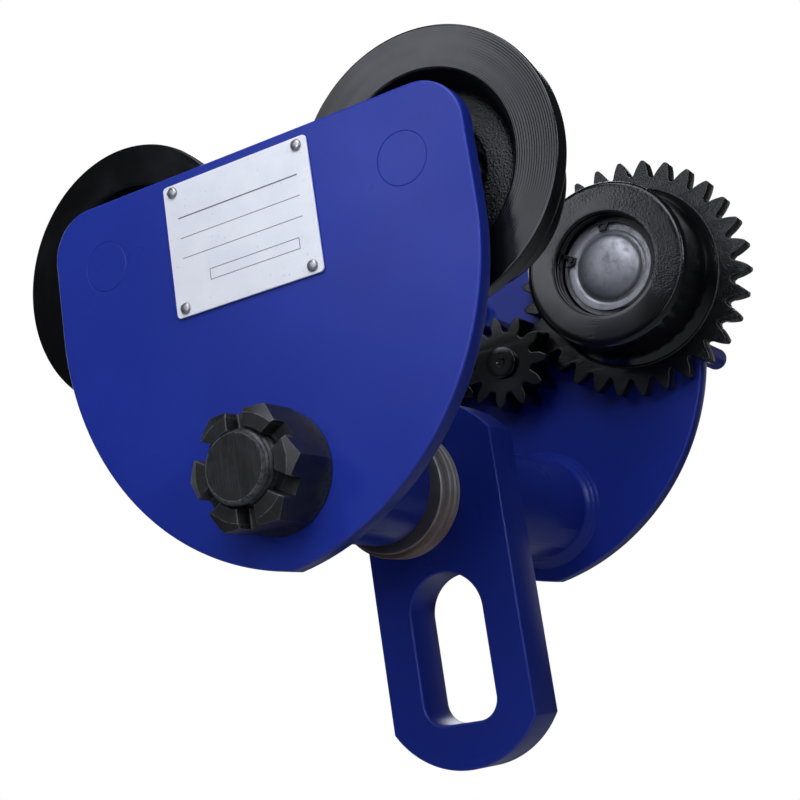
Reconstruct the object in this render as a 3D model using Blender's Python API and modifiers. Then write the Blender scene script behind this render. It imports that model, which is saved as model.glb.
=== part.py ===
import math

import bmesh
import bpy
from mathutils import Matrix

# A geared beam trolley that rolls on the lower flange of an I-beam and carries a lifting eye.
# X runs along the beam, Y across it from the plain side to the drive side, and Z is up.
# The origin is on the flange that the wheels stand on, midway between axles and between plates.

# Driving dimensions, in metres

# Side plates
plate_gap = 0.245
plate_thickness = 0.009
plate_beyond_axle = 0.0287
plate_top_rise = 0.0294
plate_corner_radius = 0.021
plate_arc_radius = 0.1257
plate_lip_below_shaft = 0.040
plate_edge_break = 0.0006

# Gearing: two wheels with teeth are driven by one pinion between them and below them
tooth_module = 0.004
wheel_teeth = 30
pinion_teeth = 11
pressure_angle = math.radians(25.0)
mesh_slope = math.radians(21.09)
tooth_play = 0.0004
root_clearance_share = 0.25
root_fillet_share = 0.3
root_corner_share = 0.45
tip_round = 0.0007
gear_thickness = 0.0089
right_gear_turn = math.radians(1.0)

# Wheels
tread_radius = 0.0435
tread_round = 0.0021
plain_wheel_width = 0.047
geared_wheel_width = 0.0464
plain_wheel_gap = 0.007
geared_wheel_gap = 0.0018
flange_radius = 0.060
flange_thickness = 0.0092
flange_chamfer = 0.001
flange_root = 0.0018
flange_taper = 0.0005
neck_length = 0.009
neck_rise = 0.0048
neck_curve = ((0.5, 0.2), (0.85, 0.62))
recess_lip = 0.0021
recess_wall = 0.0075
recess_depth = 0.014
hub_rise = 0.002
gear_rim_step = 0.0005
gear_web_overlap = 0.0043

# Ball bearings, one in each wheel
bearing_bore = 0.025
bearing_outside = 0.052
bearing_width = 0.015
bearing_depth = 0.011
ball_diameter = 0.0079
ball_count = 9
cage_wire = 0.0012
ball_track_depth = 0.0012
bearing_shoulder = 0.0035

# Rings, caps and axle pins
bore_ring_thickness = 0.002
bore_ring_width = 0.004
bore_ring_seat = 0.001
bore_ring_lug = 0.0075
lug_width = 0.0041
lug_foot_width = 0.0058
lug_hole_radius = 0.00125
bore_ring_gap_from = math.radians(95.0)
bore_ring_gap_to = math.radians(150.0)
cap_sheet = 0.0012
cap_dome_radius = 0.0175
cap_dome_height = 0.005
cap_dome_curve = ((0.06, 0.5), (0.3, 0.85))
axle_head_radius = 0.0112
axle_shoulder_radius = 0.016
axle_ring_thickness = 0.0012
axle_ring_outside = 0.0148
axle_ring_groove = 0.0006
axle_tip = 0.001
ring_gap_half_angle = math.radians(20.0)

# Load shaft, its nuts and the pieces that hang on it
shaft_drop = 0.1101
shaft_diameter = 0.030
shaft_chamfer = 0.0015
shaft_beyond_nut = 0.0042
nut_across_flats = 0.046
nut_height = 0.026
nut_chamfer = 0.0015
nut_chamfer_slope = 0.55
nut_slot_width = 0.008
nut_slot_depth = 0.008
split_pin_hole = 0.0063
boss_outside = 0.053
boss_chamfer = 0.0008
boss_weld = 0.004
weld_hollow = 0.4
plain_boss_length = 0.069
drive_boss_length = 0.088
eye_width = 0.074
eye_thickness = 0.024
eye_shoulder_rise = 0.0238
eye_bottom_drop = 0.1282
eye_toe_rise = 0.0202
eye_slot_width = 0.0375
eye_slot_top_drop = 0.0379
eye_slot_bottom_drop = 0.107
eye_slot_corner = 0.010
eye_edge_break = 0.0008
eye_bore = 0.0312
plain_washer_diameter = 0.056
plain_washer_thickness = 0.004
spacer_diameter = 0.060
spacer_thickness = 0.0022
spacer_count = 4
washer_bore = 0.034
washer_start = 0.0057

# Pinion shaft, its bush and the hand chain wheel outside the drive plate
pinion_length = 0.0211
pinion_shaft_radius = 0.010
pinion_stub_radius = 0.0088
pinion_stub_length = 0.003
bush_radius = 0.013
bush_collar_radius = 0.019
bush_collar_length = 0.025
bush_chamfer = 0.001
shaft_end_chamfer = 0.0007
chain_wheel_radius = 0.072
chain_wheel_width = 0.0215
chain_trough_radius = 0.060
chain_trough_width = 0.0125
chain_flange_edge = 0.002
chain_pocket_count = 6
chain_pocket_length = 0.036
chain_pocket_depth = 0.004
chain_pocket_width = 0.0113
chain_rim_inner_radius = 0.050
chain_web_thickness = 0.007
chain_hub_radius = 0.018
chain_hub_length = 0.034
chain_hub_before_rim = 0.0085
key_width = 0.006
key_length = 0.020
key_height = 0.006
key_in_shaft = 0.0035
shaft_ring_thickness = 0.0012
shaft_ring_outside = 0.0135
shaft_ring_groove = 0.0007
shaft_end_length = 0.003
chain_guide_diameter = 0.012
chain_guide_length = 0.043
chain_guide_inset = 0.0092
chain_guide_drop = 0.0416
chain_guide_weld = 0.0012
chain_guide_round = 0.0035
guide_tip_curve = ((0.35, 0.75), (0.0, 0.35))

# Nameplate on the plain side plate
nameplate_width = 0.075
nameplate_height = 0.0595
nameplate_thickness = 0.001
nameplate_corner = 0.002
nameplate_left = 0.0025
nameplate_below_axles = 0.0051
rivet_inset_across = 0.005
rivet_inset_up = 0.0036
rivet_head_radius = 0.0026
rivet_head_height = 0.0013
rivet_dome_curve = (0.75, 0.6)
rivet_shank_radius = 0.0012
rivet_shank_length = 0.007

# Clearances
seat_gap = 0.0003
running_gap = 0.0003

# Fineness of the round shapes
# Pins and their holes have the same number of sides, a multiple of four, so that they line up,
# and the bearing rings have a corner at each ball.
wheel_segments = 28
ring_segments = 2 * ball_count
pin_segments = 16
shaft_segments = 20

# Places worked out from the driving dimensions

axle_height = tread_radius
centre_distance = tooth_module * (wheel_teeth + pinion_teeth) / 2
axle_x = centre_distance * math.cos(mesh_slope)
plate_half_width = axle_x + plate_beyond_axle
pinion_height = axle_height - centre_distance * math.sin(mesh_slope)
shaft_height = axle_height - shaft_drop
inner_face = plate_gap / 2
outer_face = inner_face + plate_thickness
gear_back = inner_face - geared_wheel_gap
gear_front = gear_back - gear_thickness
flange_front = -inner_face + plain_wheel_gap + flange_thickness
eye_middle = (flange_front + gear_front) / 2
shaft_radius = shaft_diameter / 2
gear_seat_radius = tread_radius + neck_rise + 2 * gear_rim_step
gear_web_radius = gear_seat_radius - gear_web_overlap
bearing_bore_radius = bearing_bore / 2
bearing_outside_radius = bearing_outside / 2
ball_circle_radius = (bearing_bore_radius + bearing_outside_radius) / 2
bush_inner_end = gear_back + running_gap
collar_end = outer_face + seat_gap + bush_collar_length
hub_start = collar_end + running_gap
hub_end = hub_start + chain_hub_length

for leftover in list(bpy.data.objects):
    bpy.data.objects.remove(leftover)

parts = bpy.data.collections.new("geared_beam_trolley")
cutters = bpy.data.collections.new("cutters")
bpy.context.scene.collection.children.link(parts)
bpy.context.scene.collection.children.link(cutters)


def painted(name, colour, roughness, metallic):
    material = bpy.data.materials.new(name)
    material.use_nodes = True
    shader = material.node_tree.nodes["Principled BSDF"]
    shader.inputs["Base Color"].default_value = (*colour, 1.0)
    shader.inputs["Roughness"].default_value = roughness
    shader.inputs["Metallic"].default_value = metallic
    material.diffuse_color = (*colour, 1.0)
    return material


blue_paint = painted("blue_paint", (0.018, 0.032, 0.26), 0.28, 0.0)
black_paint = painted("black_paint", (0.012, 0.013, 0.015), 0.42, 0.0)
bare_steel = painted("bare_steel", (0.42, 0.42, 0.43), 0.34, 1.0)
dark_steel = painted("dark_steel", (0.045, 0.045, 0.05), 0.4, 0.9)
dull_steel = painted("dull_steel", (0.23, 0.21, 0.19), 0.5, 0.9)
plate_metal = painted("plate_metal", (0.68, 0.7, 0.76), 0.36, 0.3)


# Helpers that make one solid each

def in_scene(name, data, collection, material):
    piece = bpy.data.objects.new(name, data)
    collection.objects.link(piece)
    if material is not None:
        piece.data.materials.append(material)
    if collection is cutters:
        piece.hide_render = True
        piece.display_type = "WIRE"
    return piece


def evaluated_mesh(piece):
    graph = bpy.context.evaluated_depsgraph_get()
    return bpy.data.meshes.new_from_object(piece.evaluated_get(graph))


def shade(mesh):
    mesh.shade_smooth()
    mesh.set_sharp_from_angle(angle=math.radians(32.0))


def arc(centre, radius, start, end, steps):
    """Points on an arc, both ends included."""
    angles = [start + (end - start) * step / steps for step in range(steps + 1)]
    return [(centre[0] + radius * math.cos(a), centre[1] + radius * math.sin(a)) for a in angles]


def circle(centre, radius, steps):
    return arc(centre, radius, 0.0, 2 * math.pi, steps)[:-1]


def turned(name, profile, centre, toward, segments, material, collection=parts):
    """A solid turned about the Y axis. The profile holds (distance along, radius) pairs,
    measured from centre toward +Y (toward = 1) or toward -Y (toward = -1)."""
    loop = list(profile)
    touches_axis = loop[0][1] == 0.0
    area = 0.0
    for (along_a, radius_a), (along_b, radius_b) in zip(loop, loop[1:] + loop[:1]):
        area += radius_a * along_b - radius_b * along_a
    if area > 0.0:
        loop.reverse()
    mesh = bpy.data.meshes.new(name)
    edges = [(i, i + 1) for i in range(len(loop) - 1)]
    if not touches_axis:
        edges.append((len(loop) - 1, 0))
    mesh.from_pydata([(radius, 0.0, along) for along, radius in loop], edges, [])
    piece = in_scene(name, mesh, collection, None)
    piece.location = centre
    piece.rotation_euler = (-toward * math.pi / 2, 0.0, 0.0)
    screw = piece.modifiers.new("Turn", "SCREW")
    screw.axis = "Z"
    screw.angle = 2 * math.pi
    screw.steps = segments
    screw.render_steps = segments
    screw.use_merge_vertices = True
    screw.merge_threshold = 0.00001
    solid = evaluated_mesh(piece)
    piece.modifiers.clear()
    piece.data = solid
    if material is not None:
        solid.materials.append(material)
    shade(solid)
    return piece


def flat(name, outlines, thickness, centre, material, collection=parts, edge_break=0.0):
    """A flat solid cut from plate. Its outlines hold (x, z) pairs measured from centre,
    and its thickness lies along Y, half on each side of centre."""
    curve = bpy.data.curves.new(name, "CURVE")
    curve.dimensions = "2D"
    curve.fill_mode = "BOTH"
    curve.extrude = thickness / 2
    for outline in outlines:
        spline = curve.splines.new("POLY")
        spline.points.add(len(outline) - 1)
        for point, (x, z) in zip(spline.points, outline):
            point.co = (x, z, 0.0, 1.0)
        spline.use_cyclic_u = True
    guide = in_scene(name + "_outline", curve, cutters, None)
    guide.location = centre
    guide.rotation_euler = (math.pi / 2, 0.0, 0.0)
    bpy.context.view_layer.update()
    mesh = evaluated_mesh(guide)
    bm = bmesh.new()
    bm.from_mesh(mesh)
    bmesh.ops.remove_doubles(bm, verts=bm.verts, dist=0.000001)
    bmesh.ops.dissolve_limit(bm, angle_limit=math.radians(0.2), verts=bm.verts, edges=bm.edges)
    bmesh.ops.recalc_face_normals(bm, faces=bm.faces)
    bm.to_mesh(mesh)
    bm.free()
    mesh.name = name
    piece = in_scene(name, mesh, collection, material)
    piece.matrix_world = guide.matrix_world
    bpy.data.objects.remove(guide)
    if edge_break > 0.0:
        bevel = piece.modifiers.new("Edge break", "BEVEL")
        bevel.width = edge_break
        bevel.segments = 1
        bevel.limit_method = "ANGLE"
        bevel.angle_limit = math.radians(60.0)
    shade(mesh)
    return piece


def block(name, size, centre, turn, material, collection=parts):
    """A box turned about the Y axis through its own centre."""
    bm = bmesh.new()
    bmesh.ops.create_cube(bm, size=1.0, matrix=Matrix.Diagonal((*size, 1.0)))
    mesh = bpy.data.meshes.new(name)
    bm.to_mesh(mesh)
    bm.free()
    piece = in_scene(name, mesh, collection, material)
    piece.location = centre
    piece.rotation_euler = (0.0, turn, 0.0)
    return piece


def round_bar(name, radius, length, centre, turn, segments, collection=cutters):
    """A plain cylinder, along Y before turn, which is its rotation in X, Y and Z."""
    bm = bmesh.new()
    bmesh.ops.create_cone(bm, cap_ends=True, segments=segments, radius1=radius, radius2=radius, depth=length)
    bmesh.ops.rotate(bm, verts=bm.verts, matrix=Matrix.Rotation(math.pi / 2, 3, "X"))
    mesh = bpy.data.meshes.new(name)
    bm.to_mesh(mesh)
    bm.free()
    piece = in_scene(name, mesh, collection, None)
    piece.location = centre
    piece.rotation_euler = turn
    return piece


def combine(piece, tool, operation):
    boolean = piece.modifiers.new(operation.title(), "BOOLEAN")
    boolean.operation = operation
    boolean.solver = "EXACT"
    boolean.object = tool


# Gear teeth: involute flanks, rounded tips and a fillet at the root

def involute(radius, base_radius):
    angle = math.acos(min(1.0, base_radius / radius))
    return math.tan(angle) - angle


def tooth_half_angle(radius, teeth):
    pitch_radius = tooth_module * teeth / 2
    base_radius = pitch_radius * math.cos(pressure_angle)
    at_pitch = math.pi / (2 * teeth) - tooth_play / (4 * pitch_radius)
    spread = involute(pitch_radius, base_radius) - involute(max(radius, base_radius), base_radius)
    return at_pitch + spread


def gear_outline(teeth, turn):
    """Outline of a gear with a tooth centred at the angle turn from +X."""
    pitch_radius = tooth_module * teeth / 2
    base_radius = pitch_radius * math.cos(pressure_angle)
    tip_radius = pitch_radius + tooth_module
    root_radius = pitch_radius - tooth_module * (1 + root_clearance_share)
    root_fillet = root_fillet_share * tooth_module
    flank_start = max(base_radius, root_radius + root_fillet)
    half_gap_at_start = math.pi / teeth - tooth_half_angle(flank_start, teeth)
    side = [
        (root_radius, math.pi / teeth - half_gap_at_start * root_corner_share),
        (flank_start, tooth_half_angle(flank_start, teeth)),
        (pitch_radius, tooth_half_angle(pitch_radius, teeth)),
        (tip_radius, tooth_half_angle(tip_radius, teeth) - tip_round / (2 * tip_radius)),
    ]
    points = []
    for tooth in range(teeth):
        middle = turn + 2 * math.pi * tooth / teeth
        for radius, half in side:
            points.append((radius * math.cos(middle - half), radius * math.sin(middle - half)))
        for radius, half in reversed(side):
            points.append((radius * math.cos(middle + half), radius * math.sin(middle + half)))
    return points


def meshing_turn(turn, teeth, direction, other_teeth):
    """Turn that lets another gear mesh with this one. direction is the angle from this gear's
    centre to the other's: a tooth here always faces a gap there."""
    share = (direction - turn) / (2 * math.pi / teeth) % 1.0
    return direction + math.pi + (share + 0.5) * 2 * math.pi / other_teeth


pinion_turn = meshing_turn(right_gear_turn, wheel_teeth, math.pi + mesh_slope, pinion_teeth)
left_gear_turn = meshing_turn(pinion_turn, pinion_teeth, math.pi - mesh_slope, wheel_teeth)


# Side plates and boss tubes

def plate_outline():
    """A flat top with round corners, straight sides, and two large arcs that meet in a point
    below the shaft. The outline is measured from the middle of the axle line."""
    arc_centre_x = plate_half_width - plate_arc_radius
    meeting_angle = math.acos(-arc_centre_x / plate_arc_radius)
    arc_centre_z = -shaft_drop - plate_lip_below_shaft + plate_arc_radius * math.sin(meeting_angle)
    corner_x = plate_half_width - plate_corner_radius
    corner_z = plate_top_rise - plate_corner_radius
    right = arc((arc_centre_x, arc_centre_z), plate_arc_radius, -meeting_angle, 0.0, 11)
    right += arc((corner_x, corner_z), plate_corner_radius, 0.0, math.pi / 2, 4)
    left = [(-x, z) for x, z in reversed(right)]
    return right + left[:-1]


def side_plate(name, side):
    middle = side * (inner_face + plate_thickness / 2)
    piece = flat(name, [plate_outline()], plate_thickness, (0.0, middle, axle_height), blue_paint,
                 edge_break=plate_edge_break)
    through = 3 * plate_thickness
    for x in (-axle_x, axle_x):
        hole = round_bar(name + "_axle_hole", axle_head_radius + seat_gap, through,
                         (x, middle, axle_height), (0.0, 0.0, 0.0), pin_segments)
        combine(piece, hole, "DIFFERENCE")
    hole = round_bar(name + "_shaft_hole", shaft_radius + seat_gap, through,
                     (0.0, middle, shaft_height), (0.0, 0.0, 0.0), shaft_segments)
    combine(piece, hole, "DIFFERENCE")
    return piece


plain_plate = side_plate("plain_side_plate", -1)
drive_plate = side_plate("drive_side_plate", 1)
bush_hole = round_bar("bush_hole", bush_radius + seat_gap, 3 * plate_thickness,
                      (0.0, inner_face + plate_thickness / 2, pinion_height), (0.0, 0.0, 0.0), pin_segments)
combine(drive_plate, bush_hole, "DIFFERENCE")


def boss_tube(name, side, length):
    radius = boss_outside / 2
    profile = [
        (seat_gap, radius + boss_weld),
        (seat_gap + weld_hollow * boss_weld, radius + weld_hollow * boss_weld),
        (seat_gap + boss_weld, radius),
        (length - boss_chamfer, radius),
        (length, radius - boss_chamfer),
        (length, shaft_radius + seat_gap + boss_chamfer),
        (length - boss_chamfer, shaft_radius + seat_gap),
        (seat_gap, shaft_radius + seat_gap),
    ]
    turned(name, profile, (0.0, side * inner_face, shaft_height), -side, shaft_segments, blue_paint)


boss_tube("plain_boss_tube", -1, plain_boss_length)
boss_tube("drive_boss_tube", 1, drive_boss_length)


# Wheels: the profile starts at the tread's inner end and runs toward the side plate

bore_ring_start = bearing_depth - cap_sheet - 2 * seat_gap - bore_ring_thickness
bearing_seat_radius = bearing_outside_radius + seat_gap
bore_groove_radius = bearing_seat_radius + bore_ring_seat + seat_gap


def bearing_seat():
    """The stepped bore from the plate side to the tread's inner end, with its ring groove."""
    shoulder_end = bearing_depth + bearing_width + seat_gap
    return [
        (shoulder_end, bearing_outside_radius - bearing_shoulder),
        (shoulder_end, bearing_seat_radius),
        (bore_ring_start + bore_ring_thickness + seat_gap, bearing_seat_radius),
        (bore_ring_start + bore_ring_thickness + seat_gap, bore_groove_radius),
        (bore_ring_start - seat_gap, bore_groove_radius),
        (bore_ring_start - seat_gap, bearing_seat_radius),
        (0.0, bearing_seat_radius),
    ]


def tread_start():
    """The rounded rim at the tread's inner end."""
    return [
        (0.0, tread_radius - tread_round),
        (tread_round, tread_radius),
    ]


def recess(back):
    """The cast recess on the plate side, whose floor rises toward the hub."""
    floor = back - recess_depth
    return [
        (back, tread_radius - recess_lip),
        (floor, tread_radius - recess_wall),
        (floor + hub_rise, bearing_outside_radius - bearing_shoulder),
    ]


def plain_wheel(name, x):
    flange_start = plain_wheel_width - flange_thickness
    profile = tread_start() + [
        (flange_start - flange_root, tread_radius),
        (flange_start, tread_radius + flange_root),
        (flange_start + flange_taper, flange_radius - flange_chamfer),
        (flange_start + flange_taper + flange_chamfer, flange_radius),
        (plain_wheel_width - flange_chamfer, flange_radius),
        (plain_wheel_width, flange_radius - flange_chamfer),
    ]
    profile += recess(plain_wheel_width) + bearing_seat()
    start = (x, -inner_face + plain_wheel_gap + plain_wheel_width, axle_height)
    turned(name, profile, start, -1, wheel_segments, black_paint)


def geared_wheel(name, x, turn):
    neck_start = geared_wheel_width - gear_thickness - neck_length
    body_back = geared_wheel_width - gear_rim_step
    profile = tread_start() + [
        (neck_start, tread_radius),
        *[(neck_start + share * neck_length, tread_radius + rise * neck_rise) for share, rise in neck_curve],
        (neck_start + neck_length + gear_rim_step, gear_seat_radius),
        (body_back, gear_seat_radius),
    ]
    profile += recess(body_back) + bearing_seat()
    start = (x, inner_face - geared_wheel_gap - geared_wheel_width, axle_height)
    body = turned(name, profile, start, 1, wheel_segments, black_paint)
    teeth = flat(name + "_teeth", [gear_outline(wheel_teeth, turn), circle((0.0, 0.0), gear_web_radius, wheel_segments)],
                 gear_thickness, (x, gear_back - gear_thickness / 2, axle_height), black_paint, cutters)
    combine(body, teeth, "UNION")


# Bearings, rings, caps and axle pins: distances run from the tread's inner end toward the plate

def bearing(name, tread_end, toward):
    back = bearing_depth + bearing_width
    outer_track = ball_circle_radius + ball_diameter / 2 + running_gap
    inner_track = ball_circle_radius - ball_diameter / 2 - running_gap
    outer = [
        (bearing_depth, bearing_outside_radius),
        (back, bearing_outside_radius),
        (back, outer_track - ball_track_depth),
        (back - bearing_width / 2, outer_track),
        (bearing_depth, outer_track - ball_track_depth),
    ]
    turned(name + "_bearing_outer", outer, tread_end, toward, ring_segments, bare_steel)
    inner = [
        (bearing_depth, bearing_bore_radius),
        (back, bearing_bore_radius),
        (back, inner_track + ball_track_depth),
        (back - bearing_width / 2, inner_track),
        (bearing_depth, inner_track + ball_track_depth),
    ]
    turned(name + "_bearing_inner", inner, tread_end, toward, ring_segments, bare_steel)
    middle_y = tread_end[1] + toward * (bearing_depth + bearing_width / 2)
    ball_row(name + "_ball_row", (tread_end[0], middle_y, tread_end[2]))


def ball_row(name, centre):
    """Balls held by the wire of their cage: a round curve whose thickness swells at each ball."""
    points_per_ball = 4
    count = ball_count * points_per_ball
    curve = bpy.data.curves.new(name, "CURVE")
    curve.dimensions = "3D"
    curve.bevel_depth = ball_diameter / 2
    curve.bevel_resolution = 1
    spline = curve.splines.new("POLY")
    spline.points.add(count - 1)
    for index, point in enumerate(spline.points):
        angle = 2 * math.pi * index / count
        step = (index + points_per_ball // 2) % points_per_ball - points_per_ball // 2
        aside = ball_circle_radius * 2 * math.pi * step / count
        height_squared = (ball_diameter / 2) ** 2 - aside ** 2
        radius = math.sqrt(max(height_squared, cage_wire ** 2))
        point.co = (ball_circle_radius * math.cos(angle), ball_circle_radius * math.sin(angle), 0.0, 1.0)
        point.radius = radius / (ball_diameter / 2)
    spline.use_cyclic_u = True
    guide = in_scene(name + "_wire", curve, cutters, None)
    guide.location = centre
    guide.rotation_euler = (math.pi / 2, 0.0, 0.0)
    bpy.context.view_layer.update()
    mesh = evaluated_mesh(guide)
    piece = in_scene(name, mesh, parts, bare_steel)
    piece.matrix_world = guide.matrix_world
    bpy.data.objects.remove(guide)
    mesh.shade_smooth()


def bore_ring_outline():
    """An internal snap ring: its two lugs with their holes stand on either side of the gap."""
    outside = bearing_seat_radius + bore_ring_seat
    inside = outside - bore_ring_width
    lug = outside - bore_ring_lug
    lug_turn = lug_width / inside
    foot_turn = lug_foot_width / inside
    start = bore_ring_gap_to
    end = bore_ring_gap_from + 2 * math.pi
    points = arc((0.0, 0.0), outside, start, end, 14)
    points += arc((0.0, 0.0), lug, end, end - lug_turn, 2)
    points += arc((0.0, 0.0), inside, end - foot_turn, start + foot_turn, 10)
    points += arc((0.0, 0.0), lug, start + lug_turn, start, 2)
    return points


def bore_ring(name, tread_end, toward):
    hole_circle = bearing_seat_radius + bore_ring_seat - bore_ring_lug + 2 * lug_hole_radius
    lug_turn = lug_width / 2 / hole_circle
    outlines = [bore_ring_outline()]
    for angle in (bore_ring_gap_to + lug_turn, bore_ring_gap_from - lug_turn):
        middle = (hole_circle * math.cos(angle), hole_circle * math.sin(angle))
        outlines.append(circle(middle, lug_hole_radius, 6))
    along = bore_ring_start + bore_ring_thickness / 2
    centre = (tread_end[0], tread_end[1] + toward * along, tread_end[2])
    flat(name + "_bore_ring", outlines, bore_ring_thickness, centre, dark_steel)


def dust_cap(name, tread_end, toward):
    rim_back = bearing_depth - seat_gap
    rim_front = rim_back - cap_sheet
    top = rim_front - cap_dome_height
    dome = cap_dome_radius
    shoulder_fall, shoulder_share = cap_dome_curve[-1]
    profile = [
        (top, 0.0),
        *[(top + fall * cap_dome_height, share * dome) for fall, share in cap_dome_curve],
        (rim_front, dome),
        (rim_front, bearing_outside_radius - seat_gap),
        (rim_back, bearing_outside_radius - seat_gap),
        (rim_back, dome - cap_sheet),
        (top + shoulder_fall * cap_dome_height + cap_sheet, shoulder_share * dome - cap_sheet),
        (top + cap_sheet, 0.0),
    ]
    turned(name + "_dust_cap", profile, tread_end, toward, ring_segments, bare_steel)


def axle(name, tread_end, toward, wheel_to_plate):
    """A shouldered pin, riveted flush into the side plate, that carries the bearing's inner ring."""
    plate_inner = wheel_to_plate
    plate_outer = plate_inner + plate_thickness
    shoulder = bearing_depth + bearing_width + seat_gap
    seat = bearing_bore_radius - seat_gap
    groove_end = bearing_depth - seat_gap
    groove_start = groove_end - axle_ring_thickness - 2 * seat_gap
    tip = groove_start - axle_tip
    groove = seat - axle_ring_groove - seat_gap
    profile = [
        (plate_outer, 0.0),
        (plate_outer, axle_head_radius),
        (plate_inner - seat_gap, axle_head_radius),
        (plate_inner - seat_gap, axle_shoulder_radius),
        (shoulder, axle_shoulder_radius),
        (shoulder, seat),
        (groove_end, seat),
        (groove_end, groove),
        (groove_start, groove),
        (groove_start, seat),
        (tip, seat - axle_ring_groove),
        (tip, 0.0),
    ]
    turned(name + "_axle", profile, tread_end, toward, pin_segments, dark_steel)
    half_gap = ring_gap_half_angle
    inside = seat - axle_ring_groove
    outline = arc((0.0, 0.0), axle_ring_outside, half_gap, 2 * math.pi - half_gap, 10)
    outline += arc((0.0, 0.0), inside, 2 * math.pi - half_gap, half_gap, 14)
    along = groove_end - seat_gap - axle_ring_thickness / 2
    centre = (tread_end[0], tread_end[1] + toward * along, tread_end[2])
    flat(name + "_axle_ring", [outline], axle_ring_thickness, centre, dark_steel)


def wheel_set(name, x, side, width, gap):
    """What sits in and on one wheel. The wheel's own shape is made by its own function."""
    tread_end = (x, side * (inner_face - gap - width), axle_height)
    bearing(name, tread_end, side)
    bore_ring(name, tread_end, side)
    dust_cap(name, tread_end, side)
    axle(name, tread_end, side, width + gap)


plain_wheel("plain_left_wheel", -axle_x)
plain_wheel("plain_right_wheel", axle_x)
geared_wheel("geared_left_wheel", -axle_x, left_gear_turn)
geared_wheel("geared_right_wheel", axle_x, right_gear_turn)
for place, x in (("left", -axle_x), ("right", axle_x)):
    wheel_set("plain_" + place, x, -1, plain_wheel_width, plain_wheel_gap)
    wheel_set("geared_" + place, x, 1, geared_wheel_width, geared_wheel_gap)


# Load shaft with a castle nut at each end

def load_shaft():
    half_length = outer_face + seat_gap + nut_height + shaft_beyond_nut
    length = 2 * half_length
    profile = [
        (0.0, 0.0),
        (0.0, shaft_radius - shaft_chamfer),
        (shaft_chamfer, shaft_radius),
        (length - shaft_chamfer, shaft_radius),
        (length, shaft_radius - shaft_chamfer),
        (length, 0.0),
    ]
    shaft = turned("load_shaft", profile, (0.0, -half_length, shaft_height), 1, shaft_segments, dark_steel)
    pin_place = outer_face + seat_gap + nut_height - nut_slot_depth / 2
    for side in (-1, 1):
        hole = round_bar("split_pin_hole", split_pin_hole / 2, 2 * shaft_diameter,
                         (0.0, side * pin_place, shaft_height), (math.pi / 2, 0.0, 0.0), 10)
        combine(shaft, hole, "DIFFERENCE")


def castle_nut(name, side):
    corner_radius = nut_across_flats / math.sqrt(3.0)
    middle_y = side * (outer_face + seat_gap + nut_height / 2)
    centre = (0.0, middle_y, shaft_height)
    nut = flat(name, [circle((0.0, 0.0), corner_radius, 6)], nut_height, centre, dark_steel)
    face_radius = nut_across_flats / 2 - nut_chamfer / 4
    wide = corner_radius + nut_chamfer
    slope = nut_chamfer_slope * (wide - face_radius)
    barrel = [
        (-nut_height / 2 - seat_gap, 0.0),
        (-nut_height / 2 - seat_gap, face_radius - 2 * seat_gap),
        (-nut_height / 2 + slope, wide),
        (nut_height / 2 - slope, wide),
        (nut_height / 2 + seat_gap, face_radius - 2 * seat_gap),
        (nut_height / 2 + seat_gap, 0.0),
    ]
    rounding = turned(name + "_chamfer", barrel, centre, 1, shaft_segments, None, cutters)
    combine(nut, rounding, "INTERSECT")
    bore = round_bar(name + "_bore", shaft_radius + seat_gap, 2 * nut_height, centre, (0.0, 0.0, 0.0), shaft_segments)
    combine(nut, bore, "DIFFERENCE")
    slot_y = side * (outer_face + seat_gap + nut_height)
    for quarter in range(3):
        turn = math.radians(30.0 + 60.0 * quarter)
        slot = block(name + "_slot", (4 * corner_radius, 2 * nut_slot_depth, nut_slot_width),
                     (0.0, slot_y, shaft_height), turn, None, cutters)
        combine(nut, slot, "DIFFERENCE")


load_shaft()
castle_nut("plain_castle_nut", -1)
castle_nut("drive_castle_nut", 1)


# Lifting eye: a thick plate that hangs on the load shaft, with a slot for the hook

def lifting_eye():
    half = eye_width / 2
    top_radius = math.hypot(half, eye_shoulder_rise)
    top_angle = math.atan2(eye_shoulder_rise, half)
    toe_radius = (half ** 2 + eye_toe_rise ** 2) / (2 * eye_toe_rise)
    toe_centre = toe_radius - eye_bottom_drop
    toe_angle = math.asin(min(1.0, half / toe_radius))
    outline = arc((0.0, toe_centre), toe_radius, -math.pi / 2 - toe_angle, -math.pi / 2 + toe_angle, 10)
    outline += arc((0.0, 0.0), top_radius, top_angle, math.pi - top_angle, 8)
    centre = (0.0, eye_middle, shaft_height)
    eye = flat("lifting_eye", [outline], eye_thickness, centre, blue_paint, edge_break=eye_edge_break)
    slot_half = eye_slot_width / 2
    slot = arc((0.0, -eye_slot_top_drop - slot_half), slot_half, 0.0, math.pi, 12)
    corner_x = slot_half - eye_slot_corner
    corner_z = -eye_slot_bottom_drop + eye_slot_corner
    slot += arc((-corner_x, corner_z), eye_slot_corner, math.pi, 1.5 * math.pi, 4)
    slot += arc((corner_x, corner_z), eye_slot_corner, 1.5 * math.pi, 2 * math.pi, 4)
    window = flat("eye_slot", [slot], 2 * eye_thickness, centre, None, cutters)
    combine(eye, window, "DIFFERENCE")
    bore = round_bar("eye_bore", eye_bore / 2, 2 * eye_thickness, centre, (0.0, 0.0, 0.0), shaft_segments)
    combine(eye, bore, "DIFFERENCE")


lifting_eye()


# Washers that hang loosely on the load shaft beside the plain boss tube

def washer(name, start, thickness, diameter):
    hang = washer_bore / 2 - shaft_radius - seat_gap / 2
    profile = [
        (0.0, washer_bore / 2),
        (0.0, diameter / 2),
        (thickness, diameter / 2),
        (thickness, washer_bore / 2),
    ]
    turned(name, profile, (0.0, start, shaft_height - hang), 1, shaft_segments, dull_steel)


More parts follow.
